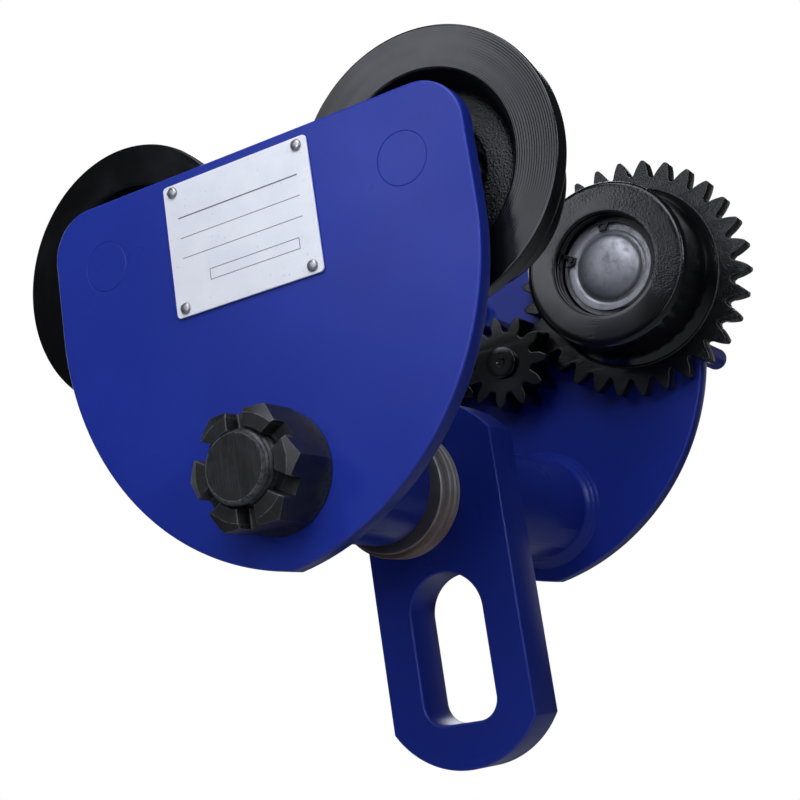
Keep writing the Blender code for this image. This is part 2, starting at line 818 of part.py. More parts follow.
washer_y = -inner_face + plain_boss_length + washer_start
washer("spacer_washer_1", washer_y, plain_washer_thickness, plain_washer_diameter)
washer_y += plain_washer_thickness + seat_gap
for number in range(spacer_count):
    washer("spacer_washer_" + str(number + 2), washer_y, spacer_thickness, spacer_diameter)
    washer_y += spacer_thickness + seat_gap


# Pinion shaft, bush, hand chain wheel and what holds it

def pinion_shaft():
    pinion_back = bush_inner_end - running_gap
    pinion_front = pinion_back - pinion_length
    start = pinion_front - pinion_stub_length
    ring_start = hub_end + running_gap
    groove = pinion_shaft_radius - shaft_ring_groove - seat_gap
    groove_end = ring_start + shaft_ring_thickness + 2 * seat_gap
    end = groove_end + shaft_end_length
    profile = [
        (0.0, 0.0),
        (0.0, pinion_stub_radius - shaft_end_chamfer),
        (shaft_end_chamfer, pinion_stub_radius),
        (pinion_stub_length + pinion_length / 2, pinion_stub_radius),
        (pinion_stub_length + pinion_length / 2, pinion_shaft_radius),
        (ring_start - start, pinion_shaft_radius),
        (ring_start - start, groove),
        (groove_end - start, groove),
        (groove_end - start, pinion_shaft_radius),
        (end - start - shaft_end_chamfer, pinion_shaft_radius),
        (end - start, pinion_shaft_radius - shaft_end_chamfer),
        (end - start, 0.0),
    ]
    shaft = turned("pinion_shaft", profile, (0.0, start, pinion_height), 1, pin_segments, black_paint)
    teeth = flat("pinion_teeth", [gear_outline(pinion_teeth, pinion_turn)], pinion_length,
                 (0.0, pinion_front + pinion_length / 2, pinion_height), black_paint, cutters)
    combine(shaft, teeth, "UNION")
    keyway = block("shaft_keyway", (key_width + 2 * seat_gap, key_length + 2 * seat_gap, 2 * key_in_shaft),
                   (0.0, hub_start + chain_hub_length / 2, pinion_height + pinion_shaft_radius), 0.0, None, cutters)
    combine(shaft, keyway, "DIFFERENCE")


def pinion_bush():
    bore = pinion_shaft_radius + running_gap
    start = bush_inner_end
    profile = [
        (0.0, bore),
        (0.0, bush_radius),
        (outer_face + seat_gap - start, bush_radius),
        (outer_face + seat_gap - start, bush_collar_radius),
        (collar_end - start - bush_chamfer, bush_collar_radius),
        (collar_end - start, bush_collar_radius - bush_chamfer),
        (collar_end - start, bore),
    ]
    turned("pinion_bush", profile, (0.0, start, pinion_height), 1, pin_segments, dark_steel)


def hand_chain_wheel():
    before = chain_hub_before_rim
    rim_end = before + chain_wheel_width
    trough_start = before + (chain_wheel_width - chain_trough_width) / 2
    trough_end = rim_end - (chain_wheel_width - chain_trough_width) / 2
    web_start = before + (chain_wheel_width - chain_web_thickness) / 2
    web_end = web_start + chain_web_thickness
    profile = [
        (0.0, pinion_shaft_radius + seat_gap),
        (0.0, chain_hub_radius),
        (web_start, chain_hub_radius),
        (web_start, chain_rim_inner_radius),
        (before, chain_rim_inner_radius),
        (before, chain_wheel_radius),
        (before + chain_flange_edge, chain_wheel_radius),
        (trough_start, chain_trough_radius),
        (trough_end, chain_trough_radius),
        (rim_end - chain_flange_edge, chain_wheel_radius),
        (rim_end, chain_wheel_radius),
        (rim_end, chain_rim_inner_radius),
        (web_end, chain_rim_inner_radius),
        (web_end, chain_hub_radius),
        (chain_hub_length, chain_hub_radius),
        (chain_hub_length, pinion_shaft_radius + seat_gap),
    ]
    wheel = turned("hand_chain_wheel", profile, (0.0, hub_start, pinion_height), 1, wheel_segments, blue_paint)
    rim_middle = hub_start + (before + rim_end) / 2
    for number in range(chain_pocket_count):
        turn = 2 * math.pi * number / chain_pocket_count
        out = chain_trough_radius
        centre = (out * math.sin(turn), rim_middle, pinion_height + out * math.cos(turn))
        pocket = block("chain_pocket", (chain_pocket_length, chain_pocket_width,
                                        2 * chain_pocket_depth), centre, turn, None, cutters)
        combine(wheel, pocket, "DIFFERENCE")
    keyway_top = pinion_shaft_radius - key_in_shaft + key_height + seat_gap
    keyway = block("hub_keyway", (key_width + 2 * seat_gap, 2 * chain_hub_length, keyway_top),
                   (0.0, hub_start + chain_hub_length / 2, pinion_height + keyway_top / 2), 0.0, None, cutters)
    combine(wheel, keyway, "DIFFERENCE")


def shaft_key():
    floor = pinion_height + pinion_shaft_radius - key_in_shaft + seat_gap
    height = key_height - seat_gap
    block("chain_wheel_key", (key_width, key_length, height),
          (0.0, hub_start + chain_hub_length / 2, floor + height / 2), 0.0, dark_steel)


def shaft_ring():
    half_gap = ring_gap_half_angle
    inside = pinion_shaft_radius - shaft_ring_groove
    outline = arc((0.0, 0.0), shaft_ring_outside, half_gap, 2 * math.pi - half_gap, 10)
    outline += arc((0.0, 0.0), inside, 2 * math.pi - half_gap, half_gap, 14)
    middle = hub_end + running_gap + seat_gap + shaft_ring_thickness / 2
    flat("chain_wheel_ring", [outline], shaft_ring_thickness, (0.0, middle, pinion_height), dark_steel)


def chain_guide(name, x):
    radius = chain_guide_diameter / 2
    profile = [
        (seat_gap, 0.0),
        (seat_gap, radius + chain_guide_weld),
        (seat_gap + chain_guide_weld, radius),
        (chain_guide_length - chain_guide_round, radius),
        *[(chain_guide_length - back * chain_guide_round, share * radius) for back, share in guide_tip_curve],
        (chain_guide_length, 0.0),
    ]
    turned(name, profile, (x, outer_face, axle_height - chain_guide_drop), 1, pin_segments, blue_paint)


pinion_shaft()
pinion_bush()
hand_chain_wheel()
shaft_key()
shaft_ring()
chain_guide("left_chain_guide", -plate_half_width + chain_guide_inset)
chain_guide("right_chain_guide", plate_half_width - chain_guide_inset)


# Bare nameplate held by four rivets

def nameplate():
    half_width = nameplate_width / 2
    half_height = nameplate_height / 2
    corner = nameplate_corner
    outline = []
    for quarter, (sx, sz) in enumerate(((1, 1), (-1, 1), (-1, -1), (1, -1))):
        middle = (sx * (half_width - corner), sz * (half_height - corner))
        start = quarter * math.pi / 2
        outline += arc(middle, corner, start, start + math.pi / 2, 3)
    face = -outer_face - seat_gap
    centre_z = axle_height - nameplate_below_axles
    centre = (-nameplate_left, face - nameplate_thickness / 2, centre_z)
    plate = flat("nameplate", [outline], nameplate_thickness, centre, plate_metal)
    number = 1
    for sz in (1, -1):
        for sx in (-1, 1):
            x = -nameplate_left + sx * (half_width - rivet_inset_across)
            z = centre_z + sz * (half_height - rivet_inset_up)
            hole = round_bar("rivet_hole", rivet_shank_radius + seat_gap, 6 * plate_thickness,
                             (x, face, z), (0.0, 0.0, 0.0), 8)
            combine(plate, hole, "DIFFERENCE")
            combine(plain_plate, hole, "DIFFERENCE")
            rise, share = rivet_dome_curve
            profile = [
                (-rivet_head_height, 0.0),
                (-rise * rivet_head_height, share * rivet_head_radius),
                (0.0, rivet_head_radius),
                (0.0, rivet_shank_radius),
                (rivet_shank_length, rivet_shank_radius),
                (rivet_shank_length, 0.0),
            ]
            under_head = face - nameplate_thickness - seat_gap
            turned("nameplate_rivet_" + str(number), profile, (x, under_head, z), 1, 8, bare_steel)
            number += 1


nameplate()
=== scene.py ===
from math import acos, asin, atan2, copysign, cos, hypot, pi, radians, sin, tan, tau

import bmesh
import bpy
import numpy as np
from mathutils import Matrix, Vector, geometry
from numpy import clip, concatenate as join, linspace, stack
from numpy.linalg import norm


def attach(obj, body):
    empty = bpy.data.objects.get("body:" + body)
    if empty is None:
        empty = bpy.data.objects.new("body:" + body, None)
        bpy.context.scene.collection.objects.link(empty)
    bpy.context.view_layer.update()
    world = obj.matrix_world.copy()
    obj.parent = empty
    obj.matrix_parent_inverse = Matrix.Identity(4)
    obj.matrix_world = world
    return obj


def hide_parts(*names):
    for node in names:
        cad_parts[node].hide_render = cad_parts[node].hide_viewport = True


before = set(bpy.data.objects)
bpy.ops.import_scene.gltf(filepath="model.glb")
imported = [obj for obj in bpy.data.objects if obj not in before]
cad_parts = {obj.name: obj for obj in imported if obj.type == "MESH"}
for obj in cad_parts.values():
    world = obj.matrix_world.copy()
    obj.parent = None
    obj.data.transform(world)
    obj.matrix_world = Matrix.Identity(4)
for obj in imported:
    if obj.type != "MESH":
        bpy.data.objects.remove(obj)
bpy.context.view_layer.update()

# Geared beam trolley, dressed for a studio picture.
# Shapes are worked out in millimetres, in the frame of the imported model: X along the beam,
# Y from the plain side to the drive side, Z up, with the beam's flange at Z = 0.

print("stage: frame loaded,", len(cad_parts), "nodes")

mm = 0.001

# what several pieces share
rig = dict(axleX=76.507, axleZ=43.5, shaftZ=-66.6, pinionZ=13.994, plateIn=122.5, plateOut=131.5, seatGap=0.3)
axles = (("left", -rig["axleX"]), ("right", rig["axleX"]))
shaftAxis, pinionAxis = (0, rig["shaftZ"]), (0, rig["pinionZ"])


# Mesh helpers
# A point row holds x, y, z in mm, then wear (1 on a rubbed edge; on blue paint it also lightens the edge as a painted
# highlight), spin (distance from the axis it was turned about, in mm) and cast (1 where the surface is rough from the
# mould; on the first washer's front face it marks painted shade).

def gridQuads(rows, columns):
    # corner numbers of the quads between neighbouring rows and columns
    first = (np.arange(rows - 1)[:, None] * columns + np.arange(columns - 1)).reshape(-1)
    return stack([first, first + 1, first + columns + 1, first + columns], 1)


def addObject(name, data):
    made = bpy.data.objects.new(name, data)
    bpy.context.scene.collection.objects.link(made)
    return made


def solid(name, patches, body, finish, sharp=34.0, finishOf=None):
    # Joins surfaces to one closed mesh: points closer than half a micron become one, which closes
    # seams and poles, and a quad that lost a corner becomes a triangle. Replaces the CAD node of its name.
    points, faces, start = [], [], 0
    for patch in patches:
        if isinstance(patch, tuple):
            flatPoints, quads = patch
        else:
            flatPoints, quads = patch.reshape(-1, 6), gridQuads(*patch.shape[:2])
        points.append(flatPoints)
        faces.append(quads + start)
        start += len(flatPoints)
    points, faces = join(points), join(faces)
    keys = np.round(points[:, :3] / 0.0005).astype(np.int64)
    _, first, same = np.unique(keys, axis=0, return_index=True, return_inverse=True)
    points, faces = points[first], same.reshape(-1)[faces]
    keep = faces != np.roll(faces, -1, axis=1)
    whole = keep.sum(1) > 2
    faces, keep = faces[whole], keep[whole]
    counts = keep.sum(1)
    mesh = bpy.data.meshes.new(name)
    mesh.vertices.add(len(points))
    mesh.vertices.foreach_set("co", (points[:, :3] * mm).ravel())
    mesh.loops.add(int(counts.sum()))
    mesh.loops.foreach_set("vertex_index", faces[keep])
    mesh.polygons.add(len(faces))
    mesh.polygons.foreach_set("loop_start", join([[0], np.cumsum(counts)[:-1]]))
    mesh.update(calc_edges=True)
    mesh.validate()
    turnedOut = bmesh.new()
    turnedOut.from_mesh(mesh)
    bmesh.ops.recalc_face_normals(turnedOut, faces=turnedOut.faces)
    turnedOut.to_mesh(mesh)
    turnedOut.free()
    for column, label in ((3, "wear"), (4, "spin"), (5, "cast")):
        mesh.attributes.new(label, "FLOAT", "POINT").data.foreach_set("value", points[:, column].copy())
    mesh.shade_smooth()
    mesh.set_sharp_from_angle(angle=radians(sharp))
    piece = addObject(name, mesh)
    for material in (finish if isinstance(finish, (list, tuple)) else [finish]):
        mesh.materials.append(material)
    if finishOf is not None:
        middles = np.zeros(len(mesh.polygons) * 3)
        mesh.polygons.foreach_get("center", middles)
        mesh.polygons.foreach_set("material_index", finishOf(middles.reshape(-1, 3) / mm).astype(np.int32))
    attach(piece, body)
    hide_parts(name)


def rounded(corners, steps=4, closed=False):
    # Rounds the corners of a line of (along, radius, round, wear, cast) rows. Each arc is the blend
    # v1 sin((1 - s) f) + v2 sin(s f) over sin f of the two spokes from its centre, for s from 0 to 1.
    rows = np.zeros((len(corners), 5))
    for index, corner in enumerate(corners):
        rows[index, :len(corner)] = corner
    here = rows[:, :2]
    before, after = np.roll(here, 1, 0) - here, np.roll(here, -1, 0) - here
    before /= norm(before, axis=1)[:, None] + 1e-9
    after /= norm(after, axis=1)[:, None] + 1e-9
    half = np.arccos(clip((before * after).sum(1), -0.99999, 0.99999)) / 2
    reach = rows[:, 2] / np.tan(half)
    middle = before + after
    middle /= norm(middle, axis=1)[:, None] + 1e-9
    centre = here + middle * (rows[:, 2] / np.sin(half))[:, None]
    spokeIn, spokeOut = here + before * reach[:, None] - centre, here + after * reach[:, None] - centre
    bend = np.maximum(pi - 2 * half, 1e-4)[:, None, None]
    share = linspace(0, 1, steps + 1)[None, :, None]
    arcs = (spokeIn[:, None] * np.sin((1 - share) * bend) + spokeOut[:, None] * np.sin(share * bend)) / np.sin(bend)
    arcs += centre[:, None]
    line = np.zeros((len(rows), steps + 1, 4))
    line[:, :, :2] = arcs
    line[:, :, 2] = rows[:, 3:4] * np.sin(pi * share[0, :, 0])
    line[:, :, 3] = rows[:, 4:5]
    sharpCorner = rows[:, 2] == 0
    line[sharpCorner, :, :2] = here[sharpCorner][:, None]
    line[sharpCorner, :, 2] = rows[sharpCorner, 3:4]
    line = line.reshape(-1, 4)
    step = norm(np.diff(line[:, :2], axis=0), axis=1)
    line = line[join([[True], step > 1e-6])]
    return join([line, line[:1]]) if closed else line


def finer(line, longest):
    # puts extra rows into a line, so that none of its steps is longer than this
    steps = np.maximum(1, np.ceil(norm(np.diff(line[:, :2], axis=0), axis=1) / longest)).astype(int)
    places = join([[0.0], np.cumsum(steps)])
    return stack([np.interp(np.arange(places[-1] + 1), places, line[:, k]) for k in range(line.shape[1])], 1)


def turned(line, centre, start, toward, segments, ripple=None):
    # A line of (along, radius) rows carried round the Y axis through centre:
    # x = cx + r cos a, y = start + toward * along, z = cz + r sin a. ripple(a, along, radius) adds to r.
    angle = linspace(0, tau, segments + 1)[:, None]
    radius = np.broadcast_to(line[None, :, 1], (segments + 1, len(line)))
    if ripple is not None:
        radius = radius + ripple(angle, line[None, :, 0], radius)
    grid = np.zeros((segments + 1, len(line), 6))
    grid[:, :, 0] = centre[0] + radius * np.cos(angle)
    grid[:, :, 1] = start + toward * line[None, :, 0]
    grid[:, :, 2] = centre[1] + radius * np.sin(angle)
    grid[:, :, 3] = line[None, :, 2]
    grid[:, :, 4] = radius
    grid[:, :, 5] = line[None, :, 3]
    return grid


def polar(centre, radius, angle):
    return stack([centre[0] + radius * np.cos(angle), centre[1] + radius * np.sin(angle)], 1)


def arcLine(centre, radius, start, end, steps):
    return polar(centre, radius, linspace(start, end, steps + 1))


def circle(centre, radius, segments):
    return arcLine(centre, radius, 0, tau, segments)[:-1]


def edgeRow(front, back, radius, steps=4):
    # (inset, y, wear) down a plate's edge: a quarter round at each face, with a thin flat strip
    # inside each that keeps the shading of the face level
    angle = linspace(0, pi / 2, steps + 1)
    side = copysign(1.0, back - front)
    inset, drop = radius * (1 - np.sin(angle)), radius * (1 - np.cos(angle))
    wear = np.sin(2 * angle)
    near = stack([inset, front + side * drop, wear], 1)
    far = stack([inset, back - side * drop, wear], 1)[::-1]
    strip = radius + 0.25
    return join([[[strip, front, 0]], near, far, [[strip, back, 0]]])


def rim(outline, row, spinAbout=None):
    # Carries an edge row round a closed outline of (x, z) points. Each point moves by inset along
    # the mitre (n1 + n2) / (1 + n1 . n2) of its two edge normals. Holes run the other way round.
    step = np.roll(outline, -1, 0) - outline
    step /= norm(step, axis=1)[:, None]
    normal = stack([step[:, 1], -step[:, 0]], 1)
    last = np.roll(normal, 1, 0)
    mitre = (normal + last) / (1 + (normal * last).sum(1))[:, None]
    place = outline[:, None] - mitre[:, None] * row[None, :, :1]
    grid = np.zeros((len(outline) + 1, len(row), 6))
    grid[:-1, :, 0], grid[:-1, :, 2] = place[:, :, 0], place[:, :, 1]
    grid[:, :, 1], grid[:, :, 3] = row[None, :, 1], row[None, :, 2]
    grid[-1] = grid[0]
    if spinAbout is not None:
        grid[:, :, 4] = np.hypot(grid[:, :, 0] - spinAbout[0], grid[:, :, 2] - spinAbout[1])
    return grid


def fill(loops, y, spinAbout=None):
    # a flat face between loops of (x, z) points
    flat = join(loops)
    triangles = geometry.tessellate_polygon([[Vector((x, z, 0)) for x, z in loop] for loop in loops])
    points = np.zeros((len(flat), 6))
    points[:, 0], points[:, 1], points[:, 2] = flat[:, 0], y, flat[:, 1]
    if spinAbout is not None:
        points[:, 4] = np.hypot(flat[:, 0] - spinAbout[0], flat[:, 1] - spinAbout[1])
    corners = np.array([tuple(t) + (t[2],) for t in triangles], int)
    return points, corners


def endFaces(rims, front, back, spinAbout, hub=()):
    # the flat faces at both ends of edge rims, and of a hub's circle inside them
    return [fill([r[:-1, end][:, [0, 2]] for r in rims] + list(hub), y, spinAbout)
        for end, y in ((0, front), (-1, back))]


def sheetSolid(outer, holes, front, back, edge, holeEdge, spinAbout=None):
    # a flat piece with rounded edges, cut by holes
    rims = [rim(outer, edgeRow(front, back, edge), spinAbout)]
    rims += [rim(hole[::-1], edgeRow(front, back, holeEdge), spinAbout) for hole in holes]
    return rims + endFaces(rims, front, back, spinAbout)


# Shader helpers

class Wire:
    # a socket on which Python's operators add Math nodes

    def __init__(self, paint, socket):
        self.paint, self.socket = paint, socket

    def math(self, operation, *values):
        return self.paint.node("Math", dict(operation=operation), dict(enumerate(values)))

    def __add__(self, other): return self.math("ADD", self, other)
    def __sub__(self, other): return self.math("SUBTRACT", self, other)
    def __rsub__(self, other): return self.math("SUBTRACT", other, self)
    def __mul__(self, other): return self.math("MULTIPLY", self, other)
    def __lt__(self, other): return self.math("LESS_THAN", self, other)
    def __gt__(self, other): return self.math("GREATER_THAN", self, other)
    __radd__ = __add__
    __rmul__ = __mul__

    def sine(self): return self.math("SINE", self)

    def ramp(self, low, high, outLow=0.0, outHigh=1.0):
        # runs from outLow to outHigh while this runs from low to high, with soft ends
        ends = {"From Min": low, "From Max": high, "To Min": outLow, "To Max": outHigh}
        return self.paint.node("MapRange", dict(interpolation_type="SMOOTHSTEP"), {"Value": self, **ends})


class Paint:
    # one material's nodes

    def __init__(self, name):
        self.material = bpy.data.materials.new(name)
        self.material.use_nodes = True
        self.tree = self.material.node_tree
        self.shader = self.tree.nodes["Principled BSDF"]
        place = self.node("TexCoord", {}, {}, "Object")
        self.place = self.node("VectorMath", dict(operation="SCALE"), {0: place, "Scale": 1000.0})

    def give(self, socket, value):
        # links a socket to a wire, or sets its value
        if isinstance(value, Wire):
            self.tree.links.new(value.socket, socket)
        else:
            socket.default_value = value

    def node(self, kind, settings, sockets, output=0):
        made = self.tree.nodes.new("ShaderNode" + kind)
        for key, value in settings.items():
            setattr(made, key, value)
        for key, value in sockets.items():
            self.give(made.inputs[key], value)
        return Wire(self, made.outputs[output])

    def noise(self, size, detail=3.0, roughness=0.55, stretch=(1, 1, 1)):
        # size is the width of the noise's spots in mm
        where = self.node("Mapping", {}, {"Vector": self.place, "Scale": tuple(s / size for s in stretch)})
        return self.node("TexNoise", {}, {"Vector": where, "Scale": 1.0, "Detail": detail, "Roughness": roughness})

    def attribute(self, name):
        return self.node("Attribute", dict(attribute_name=name), {}, "Fac")

    def rings(self, apart):
        # turned lines this far apart in mm: half of 1 + sin(2 pi spin / apart)
        return (self.attribute("spin") * (tau / apart)).sine() * 0.5 + 0.5

    def axis(self, which):
        return self.node("SeparateXYZ", {}, {"Vector": self.place}, which)

    def ray(self, kind):
        return self.node("LightPath", {}, {}, "Is " + kind + " Ray")

    def blend(self, factor, first, second):
        def full(colour): return colour if isinstance(colour, Wire) else (*colour, 1.0)
        return self.node("Mix", dict(data_type="RGBA"), {0: factor, 6: full(first), 7: full(second)}, 2)

    def set(self, **sockets):
        labels = dict(colour="Base Color", specular="Specular IOR Level", ior="IOR")
        for key, value in sockets.items():
            self.give(self.shader.inputs[labels.get(key, key.capitalize())], value)

    def bump(self, height, depth, under=None):
        # depth is in mm for a height that runs from 0 to 1
        sockets = {"Height": height, "Strength": 1.0, "Distance": depth * mm}
        if under is not None:
            sockets["Normal"] = under
        return self.node("Bump", {}, sockets)


# Finishes

def bluePaint(name, tone=(0.0150, 0.0360, 0.335)):
    p = Paint(name)
    cloud = p.noise(70, 2)
    orangePeel = p.noise(2.8, 2)
    dark = tuple(c * 0.86 for c in tone)
    edgeWearAndHighlight = tuple(min(1, c * 1.3 + 0.02) for c in tone)
    colour = p.blend(cloud.ramp(0.25, 0.75), dark, tone)
    # rounded edges lighter: partly thinned paint on rubbed edges, partly a painted highlight along every edge
    colour = p.blend(p.attribute("wear") * 0.6, colour, edgeWearAndHighlight)
    p.set(colour=colour, roughness=p.noise(40, 2).ramp(0.2, 0.8, 0.27, 0.34), specular=0.28,
        normal=p.bump(orangePeel, 0.03, p.bump(p.noise(16, 2), 0.06)))
    return p.material


def blackPaint(name, wrinkle):
    # wrinkle is how deep the paint has shrivelled in patches, in mm
    p = Paint(name)
    cast, wear = p.attribute("cast"), p.attribute("wear")
    patch = p.noise(30, 2, 0.5).ramp(0.46, 0.66)
    colour = p.blend(patch, (0.0034, 0.0034, 0.0042), (0.0052, 0.0053, 0.0066))
    colour = p.blend(wear * p.noise(2.2, 3).ramp(0.45, 0.7) * 0.3, colour, (0.05, 0.05, 0.055))
    grains = p.noise(1.0, 3, 0.6)
    height = p.bump(grains * cast * 0.6 + p.noise(1.2, 2).ramp(0.3, 0.8) * patch * wrinkle, 1.0,
        p.bump(p.rings(0.9) * (1 - cast), 0.006))
    p.set(colour=colour, roughness=patch * 0.03 + cast * 0.08 + p.noise(18, 3).ramp(0.3, 0.7, 0.14, 0.18),
        normal=height)
    return p.material


def oxideSteel(name):
    # black oxide, rubbed to steel on its edges, with upright saw marks where cast is set
    p = Paint(name)
    wear, sawn = p.attribute("wear"), p.attribute("cast")
    mottle = p.noise(5, 4, 0.6)
    rub = wear * p.noise(1.6, 3).ramp(0.30, 0.62)
    saw = p.noise(0.55, 2, 0.6, (1, 1, 0.04))
    colour = p.blend(mottle.ramp(0.35, 0.7), (0.0075, 0.0072, 0.008), (0.014, 0.0135, 0.0145))
    colour = p.blend(saw.ramp(0.5, 0.75) * sawn * 0.4, colour, (0.05, 0.05, 0.055))
    colour = p.blend(rub, colour, (0.17, 0.17, 0.18))
    height = p.bump(p.rings(0.8) * (1 - sawn), 0.01, p.bump(p.noise(1.3, 3), 0.03, p.bump(saw * sawn, 0.03)))
    p.set(colour=colour, metallic=rub * 0.5, roughness=mottle.ramp(0.3, 0.7, 0.36, 0.48) - rub * 0.1, ior=1.5,
        normal=height)
    return p.material


def brightSteel(name, tone=(0.40, 0.40, 0.43), rough=0.34, stain=(0.10, 0.09, 0.085), speck=1.4):
    p = Paint(name)
    cloud = p.noise(4.5, 4, 0.62)
    colour = p.blend(cloud.ramp(0.45, 0.85), tone, tuple(c * 0.6 for c in tone))
    colour = p.blend(p.noise(speck, 2).ramp(0.60, 0.74) * 0.5, colour, stain)
    p.set(colour=colour, metallic=0.85, roughness=cloud.ramp(0.3, 0.7, rough - 0.06, rough + 0.12),
        normal=p.bump(p.rings(0.55), 0.01, p.bump(p.noise(0.9, 3), 0.02)))
    return p.material


def dullSteel(name):
    # plain washers: turned edges, grey above and rusty brown below, with painted shade on the first washer's front face
    # (cast), tinted blue as a painted reflection of the blue parts beside it
    p = Paint(name)
    cloud = p.noise(8, 4, 0.6)
    height = p.axis("Z") + p.noise(12, 2) * 16
    lines = p.noise(0.9, 1, 0.5, (0.008, 1, 0.008))
    colour = p.blend(cloud.ramp(0.35, 0.65), (0.55, 0.53, 0.51), (0.66, 0.65, 0.64))
    colour = p.blend(lines.ramp(0.50, 0.42) * 0.6, colour, (0.12, 0.10, 0.09))
    colour = p.blend(lines.ramp(0.54, 0.62) * 0.8, colour, (0.85, 0.84, 0.80))
    colour = p.blend(height.ramp(-60, -82) * 0.78, colour, (0.20, 0.11, 0.07))
    # painted shade on the first washer's front face, bluish as a painted reflection of the blue paint nearby
    colour = p.blend(p.attribute("cast") * 0.85, colour, (0.06, 0.065, 0.09))
    p.set(colour=colour, metallic=0.25, roughness=cloud.ramp(0.3, 0.7, 0.36, 0.5),
        normal=p.bump(lines, 0.05, p.bump(p.rings(0.7), 0.024)))
    return p.material


blue = bluePaint("bluePaint")
black = blackPaint("blackPaint", 0.008)
wrinkled = blackPaint("wrinkledPaint", 0.07)
oxide = oxideSteel("oxideSteel")
steel = brightSteel("brightSteel")
washerSteel = dullSteel("washerSteel")
capSteel = brightSteel("capSteel", (0.37, 0.375, 0.40), 0.46, (0.11, 0.11, 0.12), 0.6)
rivetMetal = brightSteel("rivetMetal", (0.46, 0.46, 0.48), 0.3)
print("stage: finishes made")


# Side plates

plate = dict(halfWidth=105.2, topRise=29.4, corner=21.0, arcRadius=125.7, lip=150.1, edge=1.0,
    axleHole=11.3, shaftHole=15.3, bushHole=13.3, rivetHole=1.5)


def plateOutline():
    # two large arcs meet in a point below the shaft, then straight sides and round top corners
    arcX = plate["halfWidth"] - plate["arcRadius"]
    meet = acos(-arcX / plate["arcRadius"])
    arcZ = rig["axleZ"] - plate["lip"] + plate["arcRadius"] * sin(meet)
    cornerX = plate["halfWidth"] - plate["corner"]
    cornerZ = rig["axleZ"] + plate["topRise"] - plate["corner"]
    right = join([arcLine((arcX, arcZ), plate["arcRadius"], -meet, 0, 90),
        arcLine((cornerX, cornerZ), plate["corner"], 0, pi / 2, 30)])
    left = right[::-1] * (-1, 1)
    return join([right, left[:-1]])


nameplate = dict(x=-2.5, z=38.4, width=75.0, height=59.5, thick=1.0, corner=2.0, rivetX=32.5, rivetZ=26.15,
    headRadius=2.6, headRise=1.3)
rivetPlaces = [(nameplate["x"] + sx * nameplate["rivetX"], nameplate["z"] + sz * nameplate["rivetZ"])
    for sz in (1, -1) for sx in (-1, 1)]


def sidePlate(name, side, extraHoles):
    holes = [circle((x, rig["axleZ"]), plate["axleHole"], 72) for x in (-rig["axleX"], rig["axleX"])]
    holes += [circle((0, rig["shaftZ"]), plate["shaftHole"], 96)] + extraHoles
    patches = sheetSolid(plateOutline(), holes, side * rig["plateOut"], side * rig["plateIn"],
        plate["edge"], 0.15)
    solid(name, patches, "frame", blue)


sidePlate("plain_side_plate", -1, [circle(p, plate["rivetHole"], 24) for p in rivetPlaces])
sidePlate("drive_side_plate", 1, [circle((0, rig["pinionZ"]), plate["bushHole"], 72)])

# Boss tubes with their weld

boss = dict(radius=26.5, bore=15.3, weld=5.8, bulge=1.3, ridge=0.05, arches=46, segments=276,
    plainLength=69.0, driveLength=88.0, chamfer=0.9)


def bossTube(name, side, length):
    # the weld's face: a fillet between plate and tube that bulges, with three low ridges along it
    share = linspace(0, 1, 25)
    bulge = np.sin(share * pi) * (boss["bulge"] + boss["ridge"] * np.cos(share * 3 * tau))
    bead = stack([rig["seatGap"] + boss["weld"] * (1 - np.cos(share * pi / 2)) + bulge,
        boss["radius"] + boss["weld"] * (1 - np.sin(share * pi / 2)) + bulge, 0 * share, 0 * share], 1)
    tube = rounded([(length, boss["radius"], boss["chamfer"], 1), (length, boss["bore"], 0.5, 1),
        (rig["seatGap"], boss["bore"])])
    line = join([bead, tube, bead[:1]])

    def beadRipple(angle, along, radius):
        # the welder's steps, on the bead alone: arches |sin(23 a + 0.35 sin 5 a)| and a slow drift in width
        onBead = clip((radius - boss["radius"]) / 2.0, 0, 1)
        arch = np.abs(np.sin(angle * boss["arches"] / 2 + 0.35 * np.sin(angle * 5)))
        return onBead * (0.12 * arch + 0.35 * np.sin(angle * 3 + 1) - 0.3)

    patch = turned(line, shaftAxis, side * rig["plateIn"], -side, boss["segments"], beadRipple)
    solid(name, [patch], "frame", blue)


bossTube("plain_boss_tube", -1, boss["plainLength"])
bossTube("drive_boss_tube", 1, boss["driveLength"])
print("stage: plates and boss tubes")

# Wheels

wheel = dict(tread=43.5, treadRound=2.6, plainWidth=47.0, gearedWidth=46.4, plainGap=7.0, gearedGap=1.8,
    flange=60.0, flangeThick=9.2, flangeRoot=1.8, recessMouth=41.4, recessFloor=36.0, recessDepth=14.0,
    hubRise=2.0, backBore=22.5, seat=26.3, groove=27.6, grooveFrom=6.9, grooveTo=9.5, seatTo=26.3,
    grooveWave=1.05, grooveDeep=0.022, neckFrom=9.0, neckLength=8.4, neckRise=4.4, segments=240)


def wheelInside(back):
    # the back recess, the bearing's seat and the ring groove, from the plate side to the tread's inner end
    w = wheel
    floor = back - w["recessDepth"]
    return [(back, w["recessMouth"], 1.4, 1), (floor, w["recessFloor"], 4.0, 0, 1),
        (floor + w["hubRise"], w["backBore"], 1.2, 0, 1), (w["seatTo"], w["backBore"], 0.3),
        (w["seatTo"], w["seat"]), (w["grooveTo"], w["seat"]), (w["grooveTo"], w["groove"]),
        (w["grooveFrom"], w["groove"]), (w["grooveFrom"], w["seat"]), (0, w["seat"], 0.7, 1)]


